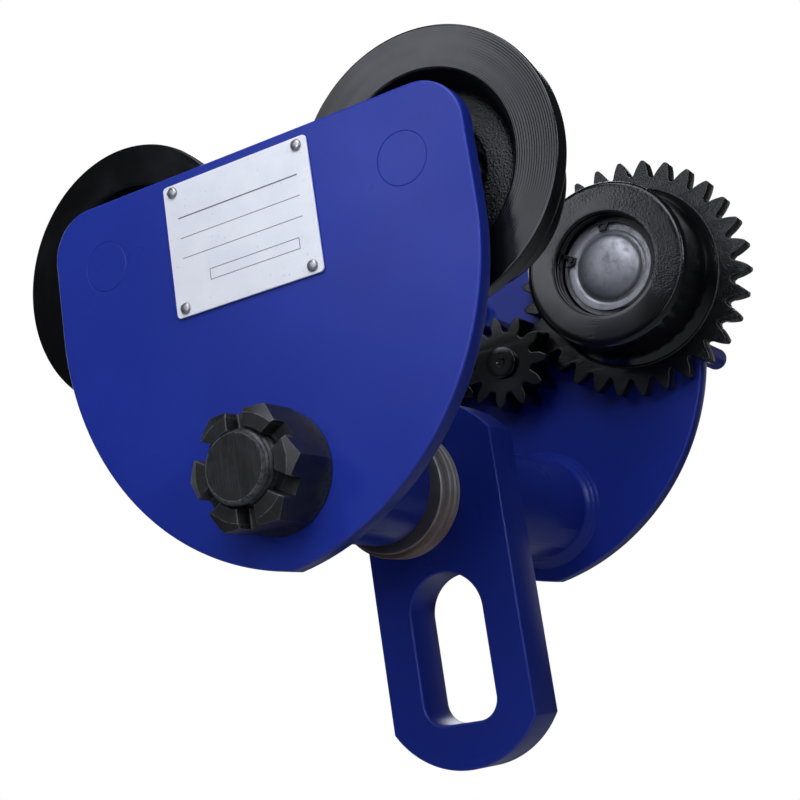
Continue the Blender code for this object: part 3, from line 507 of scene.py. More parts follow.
def plainWheel(name, x):
    w = wheel
    width, flangeFrom = w["plainWidth"], w["plainWidth"] - w["flangeThick"]
    corners = [(0, w["tread"], w["treadRound"], 0.6), (flangeFrom, w["tread"], w["flangeRoot"]),
        (flangeFrom + 0.5, w["flange"], 1.1, 0.7), (width, w["flange"], 0.9, 1)]
    line = rounded(corners + wheelInside(width), 5, True)
    # fine turned grooves on the flange's outer face, as a sine of the radius
    line = finer(line, 2.0)
    face = np.abs(line[:, 0] - width) < 1e-6
    first = np.argmax(face)
    last = len(face) - 1 - np.argmax(face[::-1])
    radii = linspace(line[first, 1], line[last, 1], 101)
    ripple = w["grooveDeep"] * (np.cos(tau * (radii - radii[0]) / w["grooveWave"]) - 1) / 2
    ripple *= clip(np.minimum(radii[0] - radii, radii - radii[-1]) / 0.6, 0, 1)
    grooved = stack([width + ripple, radii, np.zeros(101), np.zeros(101)], 1)
    line = join([line[:first], grooved, line[last + 1:]])
    patch = turned(line, (x, rig["axleZ"]), -rig["plateIn"] + w["plainGap"] + width, -1, w["segments"])
    solid(name, [patch], name + "_body", black, 50)


gear = dict(module=4.0, wheelTeeth=30, pinionTeeth=11, pressure=radians(25), mesh=radians(21.09),
    play=0.4, tipRound=0.8, rootFillet=1.3, rightTurn=radians(1.0), thick=8.9, web=49.3, edge=0.45)


def involute(radius, base):
    angle = np.arccos(np.minimum(1.0, base / radius))
    return np.tan(angle) - angle


def toothHalf(radius, teeth):
    # half a tooth's angle at a radius: its half at the pitch circle plus the involute's spread
    pitch = gear["module"] * teeth / 2
    base = pitch * cos(gear["pressure"])
    atPitch = pi / (2 * teeth) - gear["play"] / (4 * pitch)
    return atPitch + involute(pitch, base) - involute(np.maximum(radius, base), base)


def curveTo(a, b, c, steps):
    # the quadratic curve from a to c that leaves along a-b and arrives along b-c, as (radius, angle) rows
    t = linspace(0, 1, steps + 1)[:, None]
    return (1 - t) ** 2 * np.array(a) + 2 * t * (1 - t) * np.array(b) + t ** 2 * np.array(c)


def gearOutline(teeth, turn, centre):
    pitch = gear["module"] * teeth / 2
    tip, root = pitch + gear["module"], pitch - 1.25 * gear["module"]
    base = pitch * cos(gear["pressure"])
    flankFrom = max(base, root + gear["rootFillet"])
    midGap = pi / teeth
    atFlank = float(toothHalf(flankFrom, teeth))
    reach = (midGap - atFlank) * 0.75
    fillet = curveTo((root, atFlank + reach), (root, atFlank + 0.02), (flankFrom, atFlank), 6)
    radii = linspace(flankFrom, tip - gear["tipRound"], 10)
    flank = stack([radii, toothHalf(radii, teeth)], 1)
    atTip = float(toothHalf(tip, teeth))
    tipArc = curveTo(flank[-1], (tip, atTip), (tip, max(atTip - gear["tipRound"] / tip, 0.2 * atTip)), 5)
    half = join([fillet, flank[1:], tipArc[1:]]) * (1, -1)
    tooth = join([half, half[::-1] * (1, -1)])
    angle = (tooth[None, :, 1] + turn + tau * np.arange(teeth)[:, None] / teeth).ravel()
    return polar(centre, np.tile(tooth[:, 0], teeth), angle)


def meshingTurn(turn, teeth, direction, otherTeeth):
    # a tooth on this gear faces a gap on the other, along the line between their centres
    share = (direction - turn) / (tau / teeth) % 1.0
    return direction + pi + (share + 0.5) * tau / otherTeeth


pinionTurn = meshingTurn(gear["rightTurn"], gear["wheelTeeth"], pi + gear["mesh"], gear["pinionTeeth"])
leftTurn = meshingTurn(pinionTurn, gear["pinionTeeth"], pi - gear["mesh"], gear["wheelTeeth"])


def gearedWheel(name, x, turn):
    w = wheel
    centre = (x, rig["axleZ"])
    start = rig["plateIn"] - w["gearedGap"] - w["gearedWidth"]
    width = w["gearedWidth"]
    front, back = start + width - gear["thick"], start + width
    neckFrom = width - gear["thick"] - w["neckFrom"]
    neckTo, neckTop = neckFrom + w["neckLength"], w["tread"] + w["neckRise"]
    share = linspace(0, 1, 15)
    # the neck rises as share to the power 2.2, then steps up to the rough edge of the gear's web
    neck = stack([neckFrom + w["neckLength"] * share, w["tread"] + w["neckRise"] * share ** 2.2,
        0 * share, 0 * share], 1)
    edgeLine = rounded([(neckTo, neckTop), (neckTo - 0.5, gear["web"] - 0.9, 0.4, 0, 1),
        (neckTo - 0.3, gear["web"], 0.4, 0, 1), (width - gear["thick"], gear["web"])], 4)[1:]
    head = rounded([(0, w["seat"], 0.7, 1), (0, w["tread"], w["treadRound"], 0.5), (neckFrom, w["tread"])], 5)
    inside = rounded([(width, gear["web"]), (width - 0.5, gear["web"], 0.2)] + wheelInside(width - 0.5), 5)
    line = join([head, neck[1:], edgeLine])
    shell = [turned(finer(part, 2.0), centre, start, 1, w["segments"]) for part in (line, inside)]
    teeth = rim(gearOutline(gear["wheelTeeth"], turn, centre), edgeRow(front, back, gear["edge"], 3), centre)
    hub = circle(centre, gear["web"], w["segments"])
    faces = endFaces([teeth], front, back, centre, [hub[::-1]])
    for points in (teeth.reshape(-1, 6), faces[0][0], faces[1][0]):
        points[:, 5] = 0.3
    solid(name, shell + [teeth] + faces, name + "_body", wrinkled, 40)


for (place, x), turn in zip(axles, (leftTurn, gear["rightTurn"])):
    plainWheel("plain_" + place + "_wheel", x)
    gearedWheel("geared_" + place + "_wheel", x, turn)
print("stage: wheels")

# What sits in each wheel: snap ring, dust cap and axle pin

snapRing = dict(outside=27.3, inside=23.3, lug=19.8, thick=2.0, along=7.2, gapFrom=radians(95),
    gapTo=radians(150), holeCircle=22.3, hole=1.25)
cap = dict(rimAlong=10.7, sheet=1.2, rimRadius=25.7, dome=17.5, rise=5.0, fold=18.6)
pin = dict(head=11.2, headLength=9.0, shoulder=16.0, seatTo=26.3, seat=12.2, grooveFrom=8.9, grooveTo=10.7,
    groove=11.3, tip=7.9)


def boreRing(name, centre, start, toward, body):
    # an eccentric ring: its inside circle is moved so that it thins toward the gap
    r = snapRing
    lugTurn = 0.55 * (r["outside"] - r["lug"]) / r["inside"]
    first, last = r["gapTo"], r["gapFrom"] + tau

    def lugEnd(at, away):
        # the lug beside the gap, as (radius, angle) corners
        return [(r["lug"], at), (r["lug"], at + away * lugTurn), (r["inside"], at + away * 1.45 * lugTurn)]

    angle = linspace(first, last, 140)
    outer = stack([np.full(140, r["outside"]), angle], 1)
    inner = linspace(last - 1.45 * lugTurn, first + 1.45 * lugTurn, 110)
    inner = stack([r["inside"] - 0.35 * np.cos(inner - (first + last) / 2) - 0.35, inner], 1)
    rows = join([outer, np.array(lugEnd(last, -1)), inner, np.array(lugEnd(first, 1))[::-1]])
    lugMiddles = np.array([first + 0.45 * lugTurn, last - 0.45 * lugTurn])
    holes = [circle(middle, r["hole"], 20) for middle in polar(centre, r["holeCircle"], lugMiddles)]
    front = start + toward * r["along"]
    patches = sheetSolid(polar(centre, rows[:, 0], rows[:, 1]), holes, front, front + toward * r["thick"],
        0.2, 0.12, centre)
    solid(name, patches, body, oxide)


def dustCap(name, centre, start, toward, body):
    # a pressed cap: a dome that sinks as rise (1 - (1 - s^2.6)^0.62), a small fold at its foot, a flat rim
    share = linspace(0, 1, 18)
    rimTop = cap["rimAlong"] - cap["sheet"]
    top = rimTop - cap["rise"]
    dome = stack([top + cap["rise"] * (1 - (1 - share ** 2.6) ** 0.62) * 0.94, share * cap["dome"]], 1)[:-1]
    foot = rounded([tuple(dome[-1]), (rimTop - 0.25, cap["dome"], 0.5), (rimTop + 0.35, cap["fold"], 0.4),
        (rimTop, cap["fold"] + 1.2, 0.5), (rimTop, cap["rimRadius"], 0.3, 1),
        (cap["rimAlong"], cap["rimRadius"], 0.2, 0), (cap["rimAlong"], cap["dome"] - 0.6, 0.4),
        (top + cap["rise"] * 0.35 + cap["sheet"], 0.82 * cap["dome"], 2.0), (top + cap["sheet"], 0.0)], 4)
    line = join([join([dome, 0 * dome], 1), foot[1:]])
    solid(name, [turned(line, centre, start, toward, 120)], body, capSteel)


def axlePin(name, centre, start, toward, toPlate):
    # a shouldered pin whose head, riveted flush into the plate, is painted with it
    out, neck = toPlate + pin["headLength"], toPlate - rig["seatGap"]
    corners = [(out, 0), (out, pin["head"] - 0.8), (out, pin["head"], 0.15, 0.4), (neck, pin["head"]),
        (neck, pin["shoulder"], 0.5, 1), (pin["seatTo"], pin["shoulder"], 0.4, 1), (pin["seatTo"], pin["seat"]),
        (pin["grooveTo"], pin["seat"]), (pin["grooveTo"], pin["groove"]), (pin["grooveFrom"], pin["groove"]),
        (pin["grooveFrom"], pin["seat"]), (pin["tip"], pin["seat"], 0.6, 1), (pin["tip"], 0)]
    plateLine = rig["plateIn"] - 0.2
    solid(name, [turned(rounded(corners, 4), centre, start, toward, 72)], "frame", [oxide, blue],
        finishOf=lambda middle: np.abs(middle[:, 1]) > plateLine)


for side, kind, width, gap in ((-1, "plain_", wheel["plainWidth"], wheel["plainGap"]),
        (1, "geared_", wheel["gearedWidth"], wheel["gearedGap"])):
    for place, x in axles:
        centre = (x, rig["axleZ"])
        start = side * (rig["plateIn"] - gap - width)
        name = kind + place
        boreRing(name + "_bore_ring", centre, start, side, name + "_wheel_body")
        dustCap(name + "_dust_cap", centre, start, side, name + "_wheel_body")
        axlePin(name + "_axle", centre, start, side, width + gap)
print("stage: caps, rings and pins")

# Load shaft with rolled threads at both ends

shaft = dict(radius=15.0, half=162.0, chamfer=1.6, pitch=3.5, threadDeep=1.5, threadFrom=134.0,
    pinAt=153.8, pinHole=3.15, pinDeep=9.0)


def loadShaft():
    s = shaft
    threaded = np.arange(s["half"] - s["chamfer"], s["threadFrom"], -s["pitch"] / 10)
    rows = join([threaded, [s["threadFrom"], 110.0, 0.0]])
    face = s["radius"] - s["chamfer"]
    end = np.array([(s["half"], r, w, 1) for r, w in
        ((0, 0), (5, 0), (10, 0), (face - 0.5, 0), (face - 0.15, 0.8), (face, 0.8))])
    side = stack([rows, 0 * rows + s["radius"], (rows > s["threadFrom"]) * 0.2, 0 * rows], 1)
    line = join([end, side])
    line = join([line, line[:-1][::-1] * (-1, 1, 1, 1)])

    def thread(angle, along, radius):
        # a triangle wave of y / pitch - a / 2 pi, with flat crests, that fades out before the plain part
        phase = np.abs((along / s["pitch"] - angle / tau) % 1.0 * 2 - 1)
        onSide = radius > s["radius"] - 0.01
        fade = clip((np.abs(along) - s["threadFrom"]) / 4, 0, 1) * onSide
        groove = -s["threadDeep"] * clip(phase * 1.25 - 0.15, 0, 1) * fade
        # split-pin holes at top and bottom, behind the nut's slots
        away = np.hypot(s["radius"] * np.cos(angle), np.abs(along) - s["pinAt"])
        hole = clip((s["pinHole"] - away) / 0.5 + 0.5, 0, 1) * onSide
        return np.minimum(groove, -s["pinDeep"] * hole)

    solid("load_shaft", [turned(line, shaftAxis, 0, 1, 96, thread)], "frame",
        oxideSteel("sawnSteel"), 45)


loadShaft()

# Castle nuts

nut = dict(flats=46.0, height=26.0, bore=15.3, countersink=1.0, face=21.7, slope=tan(radians(30)),
    slotHalf=4.0, slotDeep=8.0, slotRound=0.5, floorRound=1.1, nick=0.07, foot=25.6, footThick=0.8, footSlope=5.0)


def castleNut(name, side):
    # One flat with its slot, repeated six times. Columns run from the bore to the flat, each at its
    # own distance q along the flat.
    n = nut
    quarter = linspace(0, pi / 2, 5)
    floorQ = n["slotHalf"] - n["floorRound"] * (1 - np.sin(quarter))
    floorDrop = n["slotDeep"] - n["floorRound"] * (1 - np.cos(quarter))
    topQ = n["slotHalf"] + n["slotRound"] * (1 - np.cos(quarter))
    topDrop = n["slotRound"] * (1 - np.sin(quarter))
    halfFlat = n["flats"] / 2 * tan(pi / 6)
    landShare = np.array([0.05, 0.3, 0.6, 0.85, 0.965, 1.0])
    outerQ = join([[0.0], floorQ, topQ, topQ[-1] + (halfFlat - topQ[-1]) * landShare])
    innerAngle = np.arcsin(topQ[-1] / n["bore"])
    landAngle = innerAngle + (pi / 6 - innerAngle) * landShare
    innerQ = join([[0.0], floorQ, topQ, n["bore"] * np.sin(landAngle)])
    drop = join([[n["slotDeep"]], floorDrop, topDrop, np.zeros(6)])
    wear = join([np.zeros(6), [0.3, 0.5, 0.6, 0.5, 0.3], [0, 0, 0, 0, 0, 0.3]])
    inner = stack([np.sqrt(n["bore"] ** 2 - innerQ ** 2), innerQ], 1)
    outer = stack([np.full(len(outerQ), n["flats"] / 2), outerQ], 1)
    ray = outer - inner

    def atRadius(radius):
        # where the straight column crosses a circle: the positive root of |inner + t ray| = radius
        a, b = (ray ** 2).sum(1), 2 * (inner * ray).sum(1)
        c = (inner ** 2).sum(1) - radius ** 2
        return inner + ray * clip((-b + np.sqrt(b * b - 4 * a * c)) / (2 * a), 0, 1)[:, None]

    sink = atRadius(n["bore"] + n["countersink"])
    ring = atRadius(n["face"])
    outRadius = norm(outer, axis=1)
    cone = (outRadius - n["face"]) * n["slope"]
    high = n["height"]
    top = high - drop
    flankTop = np.minimum(top, high - cone)

    def between(first, second, share):
        return first * (1 - share) + second * share

    # a thin round foot that slopes up to the flats, then the walls, the chamfered top and the bore
    nick, none, foot = n["nick"], 0 * wear, outer * (n["foot"] / outRadius)[:, None]
    footTop = none + n["footThick"]
    edge = np.maximum(wear, np.where(outerQ > n["slotHalf"] - 0.01, 0.5, 0.1))
    rows = [(inner, none + n["countersink"], none), (sink, none, none), (foot, none, none),
        (foot, footTop, none + 0.2), (outer, footTop + n["footSlope"], none),
        (outer, np.minimum(flankTop - 0.6, high - n["slotDeep"] - 0.5), none), (outer, flankTop - 0.4, wear),
        (outer, flankTop, edge), (between(outer, ring, nick), None, wear),
        (between(outer, ring, 1 - nick), None, wear * 0.5), (ring, top, np.maximum(edge, 1.9 * edge - 0.2)),
        (between(ring, sink, nick), top, wear * 0.5), (between(ring, sink, 0.9), top, wear * 0.5),
        (sink, top, np.maximum(wear, 0.2)), (inner, np.minimum(top, high - n["countersink"]), none),
        (inner, none + n["countersink"], none)]
    grid = np.zeros((len(drop), len(rows), 4))
    for index, (place, height, rub) in enumerate(rows):
        if height is None:
            height = np.minimum(top, high - np.maximum(0, norm(place, axis=1) - n["face"]) * n["slope"])
        grid[:, index, 0], grid[:, index, 1], grid[:, index, 2] = place[:, 0], height, place[:, 1]
        grid[:, index, 3] = rub
    mirrored = grid[::-1] * (1, 1, -1, 1)
    flat = join([mirrored[:-1], grid])
    angle = pi / 6 + pi / 3 * np.arange(6)[:, None, None]
    x = flat[None, :, :, 0] * np.cos(angle) - flat[None, :, :, 2] * np.sin(angle)
    z = flat[None, :, :, 0] * np.sin(angle) + flat[None, :, :, 2] * np.cos(angle)
    whole = np.zeros((6, *flat.shape[:2], 6))
    whole[..., 0], whole[..., 2] = x, z + rig["shaftZ"]
    whole[..., 1] = side * (rig["plateOut"] + rig["seatGap"] + flat[None, :, :, 1])
    whole[..., 3] = flat[None, :, :, 3]
    whole[..., 4] = np.hypot(x, z)
    whole = whole.reshape(-1, len(rows), 6)
    solid(name, [whole], "frame", oxide, 30)


castleNut("plain_castle_nut", -1)
castleNut("drive_castle_nut", 1)
print("stage: shaft and nuts")

# Lifting eye

eye = dict(half=37.0, shoulder=23.8, bottom=128.2, toe=20.2, middle=2.75, thick=24.0, slotHalf=18.75, slotTop=37.9,
    slotBottom=107.0, slotCorner=10.0, bore=15.6, edge=0.9)


def liftingEye():
    topRadius = hypot(eye["half"], eye["shoulder"])
    topAngle = atan2(eye["shoulder"], eye["half"])
    toeRadius = (eye["half"] ** 2 + eye["toe"] ** 2) / (2 * eye["toe"])
    toeAngle = asin(eye["half"] / toeRadius)
    toe = arcLine((0, toeRadius - eye["bottom"]), toeRadius, -pi / 2 - toeAngle, -pi / 2 + toeAngle, 70)
    outer = join([toe, arcLine((0, 0), topRadius, topAngle, pi - topAngle, 60)]) + shaftAxis
    lowZ = -eye["slotBottom"] + eye["slotCorner"]
    lowX = eye["slotHalf"] - eye["slotCorner"]
    slotLine = join([arcLine((0, -eye["slotTop"] - eye["slotHalf"]), eye["slotHalf"], 0, pi, 48),
        arcLine((-lowX, lowZ), eye["slotCorner"], pi, 1.5 * pi, 16),
        arcLine((lowX, lowZ), eye["slotCorner"], 1.5 * pi, tau, 16)]) + shaftAxis
    patches = sheetSolid(outer, [slotLine, circle(shaftAxis, eye["bore"], 96)], eye["middle"] - eye["thick"] / 2,
        eye["middle"] + eye["thick"] / 2, eye["edge"], 1.0)
    solid("lifting_eye", patches, "eye_body", blue)


liftingEye()

# Loose washers on the shaft

washer = dict(start=-47.8, plainThick=4.0, plainRadius=28.0, thick=2.2, radius=30.0, gap=0.3, bore=17.0, hang=1.85)


def looseWasher(name, start, thick, radius, paintedShadeFace=0):
    corners = [(0, washer["bore"], 0.2), (0, radius, 0.35, 1), (thick, radius, 0.35, 1), (thick, washer["bore"], 0.2)]
    line = finer(rounded(corners, 3, True), 2.5)
    # the cast column marks the first washer's front face, where the washer finish paints shade
    line[:, 3] = paintedShadeFace * (line[:, 0] < 0.02)
    solid(name, [turned(line, (0, rig["shaftZ"] - washer["hang"]), start, 1, 160)], "frame",
        washerSteel)


at = washer["start"]
looseWasher("spacer_washer_1", at, washer["plainThick"], washer["plainRadius"], 1)
at += washer["plainThick"] + washer["gap"]
for number in range(2, 6):
    looseWasher("spacer_washer_" + str(number), at, washer["thick"], washer["radius"])
    at += washer["thick"] + washer["gap"]
print("stage: eye and washers")

# Pinion shaft, bush, hand chain wheel and what holds it

pinion = dict(stubRadius=8.8, stub=3.0, length=21.1, back=120.7, shaft=10.0, hubEnd=191.1, ringGap=0.3, ringThick=1.2,
    groove=9.0, end=3.0)
bush = dict(start=121.0, end=156.8, bore=10.3, radius=13.0, collar=19.0, collarFrom=131.8)
chainWheel = dict(hubFrom=157.1, hubLength=34.0, hub=18.0, before=8.5, width=21.5, radius=72.0, trough=60.0,
    troughWidth=12.5, edge=2.0, inner=50.0, web=7.0, bore=10.3, pockets=6, pocketHalf=18.0, pocketDeep=4.0)
key = dict(width=6.0, length=20.0, height=5.7, bottom=6.8)
endRing = dict(outside=13.5, inside=9.3, gap=radians(20))


def pinionShaft():
    d = pinion
    front = d["back"] - d["length"]
    hub = circle(pinionAxis, d["stubRadius"], 88)
    teeth = rim(gearOutline(gear["pinionTeeth"], pinionTurn, pinionAxis), edgeRow(front, d["back"], 0.5, 3), pinionAxis)
    stubEnd = front - d["stub"]
    stub = rounded([(stubEnd + 1.4, 0), (stubEnd + 1.4, 1.2), (stubEnd, 2.6, 0.2, 1),
        (stubEnd, d["stubRadius"], 0.7, 1), (front, d["stubRadius"])], 4)
    ringFrom = d["hubEnd"] + d["ringGap"]
    ringTo = ringFrom + d["ringThick"] + 0.6
    end = ringTo + d["end"]
    rod = rounded([(d["back"], d["stubRadius"]), (d["back"], d["shaft"]), (ringFrom, d["shaft"]),
        (ringFrom, d["groove"]), (ringTo, d["groove"]), (ringTo, d["shaft"], 0.1),
        (end, d["shaft"], 0.7, 1), (end, 2.4, 0.2, 1), (end - 1.4, 1.2), (end - 1.4, 0)], 4)
    patches = [turned(line, pinionAxis, 0, 1, 88) for line in (stub, rod)] + [teeth]
    patches += endFaces([teeth], front, d["back"], pinionAxis, [hub[::-1]])
    solid("pinion_shaft", patches, "pinion_body", [black, steel],
        finishOf=lambda middle: middle[:, 1] > d["back"] + 0.1)


def pinionBush():
    corners = [(bush["start"], bush["bore"], 0.4), (bush["start"], bush["radius"], 0.5),
        (bush["collarFrom"], bush["radius"]),
        (bush["collarFrom"], bush["collar"], 0.5, 1), (bush["end"], bush["collar"], 1.2, 1),
        (bush["end"], bush["bore"], 0.5)]
    solid("pinion_bush", [turned(finer(rounded(corners, 4, True), 3), pinionAxis, 0, 1, 96)], "frame",
        oxide)


def handChainWheel():
    c = chainWheel
    middle = c["hubFrom"] + c["before"] + c["width"] / 2
    hubTo = c["hubFrom"] + c["hubLength"]
    half = c["troughWidth"] / 2
    # web, rim and trough on one side of the middle, then the same on the other
    side = [(c["web"] / 2, c["hub"], 2.5), (c["web"] / 2, c["inner"], 3.0), (c["width"] / 2, c["inner"], 1.2, 1),
        (c["width"] / 2, c["radius"], 0.9, 1), (c["width"] / 2 - c["edge"], c["radius"], 0.9, 1),
        (half, c["trough"], 1.6)]
    corners = [(c["hubFrom"], c["bore"], 0.5), (c["hubFrom"], c["hub"], 1.2, 1)]
    corners += [(middle - away, *rest) for away, *rest in side]
    corners += [(middle + away, *rest) for away, *rest in side[::-1]]
    corners += [(hubTo, c["hub"], 1.2, 1), (hubTo, c["bore"], 0.5)]
    line = finer(rounded(corners, 4, True), 1.5)

    def pocket(angle, along, radius):
        # link pockets: the trough's floor sinks in a smooth box, six times around
        away = np.abs((angle + tau / 12 - pi / 2) % (tau / c["pockets"]) - tau / 12) * c["trough"]
        around = clip((c["pocketHalf"] - away) / 2.5 + 0.5, 0, 1)
        across = clip((half - 0.3 - np.abs(along - middle)) / 1.5 + 0.5, 0, 1)
        low = clip((c["trough"] + 2.0 - radius) / 2.0, 0, 1) * (radius > c["inner"] + 1)
        shape = around * across * low
        return -c["pocketDeep"] * shape * shape * (3 - 2 * shape)

    patch = turned(line, pinionAxis, 0, 1, 300, pocket)
    solid("hand_chain_wheel", [patch], "pinion_body", blue, 50)


def shaftKey():
    half = key["width"] / 2
    top = key["bottom"] + key["height"]
    outline = rounded([(-half, key["bottom"], 0.4), (half, key["bottom"], 0.4), (half, top, 0.4),
        (-half, top, 0.4)], 3)[:, :2] + pinionAxis
    middle = chainWheel["hubFrom"] + chainWheel["hubLength"] / 2
    solid("chain_wheel_key", sheetSolid(outline, [], middle - key["length"] / 2, middle + key["length"] / 2, 0.3, 0.3),
        "pinion_body", steel)


def shaftRing():
    gap = endRing["gap"]
    outer = arcLine((0, 0), endRing["outside"], gap, tau - gap, 60)
    inner = arcLine((0, 0), endRing["inside"], tau - gap, gap, 50)
    front = pinion["hubEnd"] + 0.6
    patches = sheetSolid(join([outer, inner]) + pinionAxis, [], front, front + pinion["ringThick"],
        0.2, 0.2, pinionAxis)
    solid("chain_wheel_ring", patches, "pinion_body", oxide)


guide = dict(x=96.0, z=1.9, radius=6.0, start=131.5, length=43.0, weld=1.6, end=3.5)


def chainGuide(name, x):
    foot = rig["seatGap"]
    corners = [(foot, 0), (foot, guide["radius"] + guide["weld"], 0.3), (foot + guide["weld"], guide["radius"], 1.0),
        (guide["length"], guide["radius"], guide["end"], 1), (guide["length"], 0)]
    line = finer(rounded(corners, 7), 3)
    solid(name, [turned(line, (x, guide["z"]), guide["start"], 1, 64)], "frame", blue)


pinionShaft()
pinionBush()
handChainWheel()
shaftKey()
shaftRing()
chainGuide("left_chain_guide", -guide["x"])
chainGuide("right_chain_guide", guide["x"])
print("stage: drive side")

# Nameplate with plain rules and one framed field, and its rivets

rules = dict(ink=(0.03, 0.035, 0.05), field=(-18.0, 28.0, -17.5, -12.5), line=0.35,
    bars=((-31.0, 31.0, 13.6, 14.2), (-31.0, 31.0, 4.6, 4.95), (-31.0, 31.0, -4.4, -4.05)))


def nameplateMetal():
    p = Paint("nameplateMetal")
    x, z = p.axis("X") - nameplate["x"], p.axis("Z") - nameplate["z"]

    def inside(left, right, low, high):
        # 1 inside a rectangle on the sheet
        return (x > left) * (x < right) * (z > low) * (z < high)

    left, right, low, high = rules["field"]
    line = rules["line"]
    marks = inside(left, right, low, high) - inside(left + line, right - line, low + line, high - line)
    for bar in rules["bars"]:
        marks = marks + inside(*bar)
    brushed = p.noise(1.0, 2, 0.6, (0.04, 1, 3.0))
    cloud = p.noise(22, 3)
    colour = p.blend(cloud.ramp(0.3, 0.7), (0.86, 0.87, 0.91), (0.92, 0.93, 0.96))
    colour = p.blend(p.noise(1.5, 2).ramp(0.68, 0.75) * 0.35, colour, (0.35, 0.35, 0.36))
    colour = p.blend(marks * 0.9, colour, rules["ink"])
    p.set(colour=colour, metallic=0.1, roughness=brushed.ramp(0.3, 0.7, 0.3, 0.42) + marks * 0.1,
        normal=p.bump(brushed, 0.01))
    return p.material


def makeNameplate():
    n = nameplate
    halfX, halfZ, corner = n["width"] / 2, n["height"] / 2, n["corner"]
    outline = rounded([(x * halfX, z * halfZ, corner) for x, z in ((1, -1), (1, 1), (-1, 1), (-1, -1))], 6)[:, :2]
    outline = outline + (n["x"], n["z"])
    back = -rig["plateOut"] - rig["seatGap"]
    holes = [circle(p, plate["rivetHole"], 24) for p in rivetPlaces]
    solid("nameplate", sheetSolid(outline, holes, back - n["thick"], back, 0.25, 0.1), "frame",
        nameplateMetal())
    for number, place in enumerate(rivetPlaces, 1):
        share = linspace(0, 1, 9)
        # domed head: height = rise * sqrt(1 - share squared)
        head = stack([-n["headRise"] * np.sqrt(1 - share ** 2), n["headRadius"] * share,
            share ** 4, 0 * share], 1)
        shank = np.array([(0, 1.2, 0, 0), (7.0, 1.2, 0, 0), (7.0, 0, 0, 0)])
        name = "nameplate_rivet_" + str(number)
        start = back - n["thick"] - rig["seatGap"]
        solid(name, [turned(join([head, shank]), place, start, 1, 32)], "frame", rivetMetal)


makeNameplate()
print("stage: nameplate")

# CAD nodes that stay as they are: bearing rings, balls and axle rings inside the wheels

for name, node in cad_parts.items():
    if node.hide_render:
        continue
    node.data.materials.clear()
    node.data.materials.append(oxide if name.endswith("_axle_ring") else steel)

# Studio: pale floor, white backdrop behind, soft lamps and the camera

studio = dict(floorZ=-0.55, floorRadius=9.0, fadeFrom=0.7, fadeTo=1.8, spokes=96, rings=12)


def floorPaint():
    p = Paint("floorPaint")
    far = p.node("VectorMath", dict(operation="LENGTH"), {0: p.place}, "Value").ramp(
        studio["fadeFrom"] * 1000, studio["fadeTo"] * 1000)
    seen, mirrored = p.ray("Camera"), p.ray("Glossy") + p.ray("Transmission")
    pale = p.blend(p.noise(300, 3), (0.86, 0.86, 0.87), (0.9, 0.9, 0.9))
    p.set(colour=p.blend(seen + mirrored * 0.3, (0.25, 0.25, 0.26), pale), roughness=0.8)
    white = p.node("Emission", {}, {"Color": (1, 1, 1, 1), "Strength": 1.0})
    mixed = p.node("MixShader", {}, {0: far * seen, 1: Wire(p, p.shader.outputs[0]), 2: white})
    p.tree.links.new(mixed.socket, p.tree.nodes["Material Output"].inputs["Surface"])
    return p.material


def makeFloor():
    spokes, rings = studio["spokes"], studio["rings"]
    angle = linspace(0, tau, spokes + 1)[:-1]
    radius = studio["floorRadius"] * linspace(0, 1, rings + 1)[1:, None]
    ring = stack([radius * np.cos(angle), radius * np.sin(angle), np.full((rings, spokes), studio["floorZ"])], -1)
    points = join([[[0, 0, studio["floorZ"]]], ring.reshape(-1, 3)])
    first = np.arange(spokes)
    faces = [(0, 1 + a, 1 + (a + 1) % spokes) for a in first]
    for row in range(rings - 1):
        inner, outer = 1 + row * spokes + first, 1 + (row + 1) * spokes + first
        faces += stack([inner, outer, np.roll(outer, -1), np.roll(inner, -1)], 1).tolist()
    mesh = bpy.data.meshes.new("floor")
    mesh.from_pydata(points.tolist(), [], faces)
    mesh.materials.append(floorPaint())
    addObject("floor", mesh)


makeFloor()

world = bpy.data.worlds.new("studioWorld")
bpy.context.scene.world = world
world.use_nodes = True


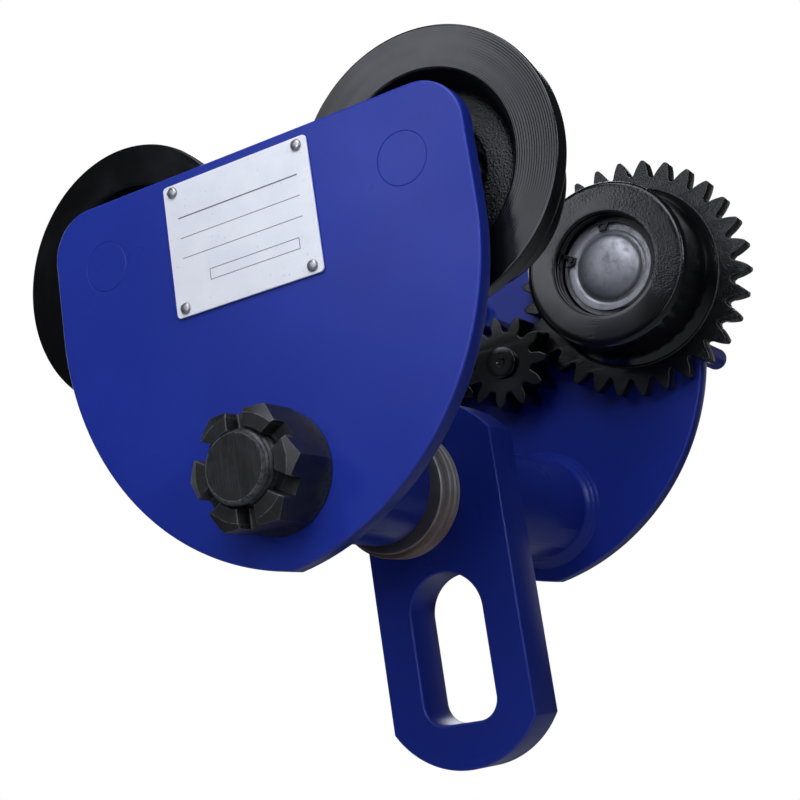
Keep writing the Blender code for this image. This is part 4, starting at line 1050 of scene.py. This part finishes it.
class Sky(Paint):
    # the world's nodes: dim all round, white behind the object and wherever the camera looks past it

    def __init__(self, tree):
        self.tree = tree
        facing = self.node("TexCoord", {}, {}, "Generated")
        behind = self.node("SeparateXYZ", {}, {"Vector": facing}, "Y").ramp(*sky["behind"])
        seen = self.ray("Camera") + (self.ray("Glossy") + self.ray("Transmission")) * behind * sky["mirrored"]
        dim = self.node("Background", {}, {"Color": (*sky["tint"], 1), "Strength": sky["fill"]})
        white = self.node("Background", {}, {"Color": (1, 1, 1, 1), "Strength": 1.0})
        mixed = self.node("MixShader", {}, {0: seen, 1: dim, 2: white})
        tree.links.new(mixed.socket, tree.nodes["World Output"].inputs["Surface"])


sky = dict(tint=(0.88, 0.92, 1.0), fill=0.03, behind=(0.93, 0.99), mirrored=0.5)
Sky(world.node_tree)


def areaLamp(name, azimuth, elevation, width, height, watts, away=1.25):
    # a soft panel on a sphere round the object, azimuth counted from -Y toward +X, facing the middle
    lamp = bpy.data.lights.new(name, "AREA")
    lamp.shape = "RECTANGLE"
    lamp.size, lamp.size_y = width, height
    lamp.energy = watts
    lamp.color = (0.88, 0.91, 1.0)
    holder = addObject(name, lamp)
    across, up = radians(azimuth), radians(elevation)
    toward = Vector((sin(across) * cos(up), -cos(across) * cos(up), sin(up)))
    holder.location = Vector((0, 0, -0.05)) + toward * away
    holder.rotation_euler = (-toward).to_track_quat("-Z", "Y").to_euler()


areaLamp("frontLamp", 10, 6, 0.4, 0.35, 1.5, 0.8)
areaLamp("panelLamp", -22.8, 26, 0.44, 0.9, 3.9, 2.3)
areaLamp("middleLamp", 22, 38, 0.4, 0.3, 1.95, 0.8)
areaLamp("rightLamp", 58, 15, 0.34, 0.34, 2.7)
areaLamp("topLamp", 14, 62, 0.7, 0.5, 4.0)
areaLamp("leftLamp", -115, 20, 0.8, 0.8, 5)
areaLamp("backLamp", 205, 25, 1.0, 0.8, 8)

# the photograph's view: from below and to the right, turned a little
view = dict(lens=66.2, place=(0.3240, -0.6147, -0.1767), roll=0.0028, shift=(0.00065, 0.00104))
viewTurn = Matrix(((0.850602, 0.238958, 0.468375), (0.504431, -0.119424, -0.855153),
    (-0.148411, 0.963658, -0.222120)))
cameraData = bpy.data.cameras.new("camera")
cameraData.lens, cameraData.sensor_width = view["lens"], 36.0
cameraData.clip_end = 50
camera = addObject("camera", cameraData)
camera.matrix_world = Matrix.Translation(view["place"]) @ viewTurn.to_4x4() @ Matrix.Rotation(view["roll"], 4, "Z")
cameraData.shift_x, cameraData.shift_y = view["shift"]
bpy.context.scene.camera = camera
bpy.context.scene.view_settings.view_transform = "Standard"
print("stage: studio")
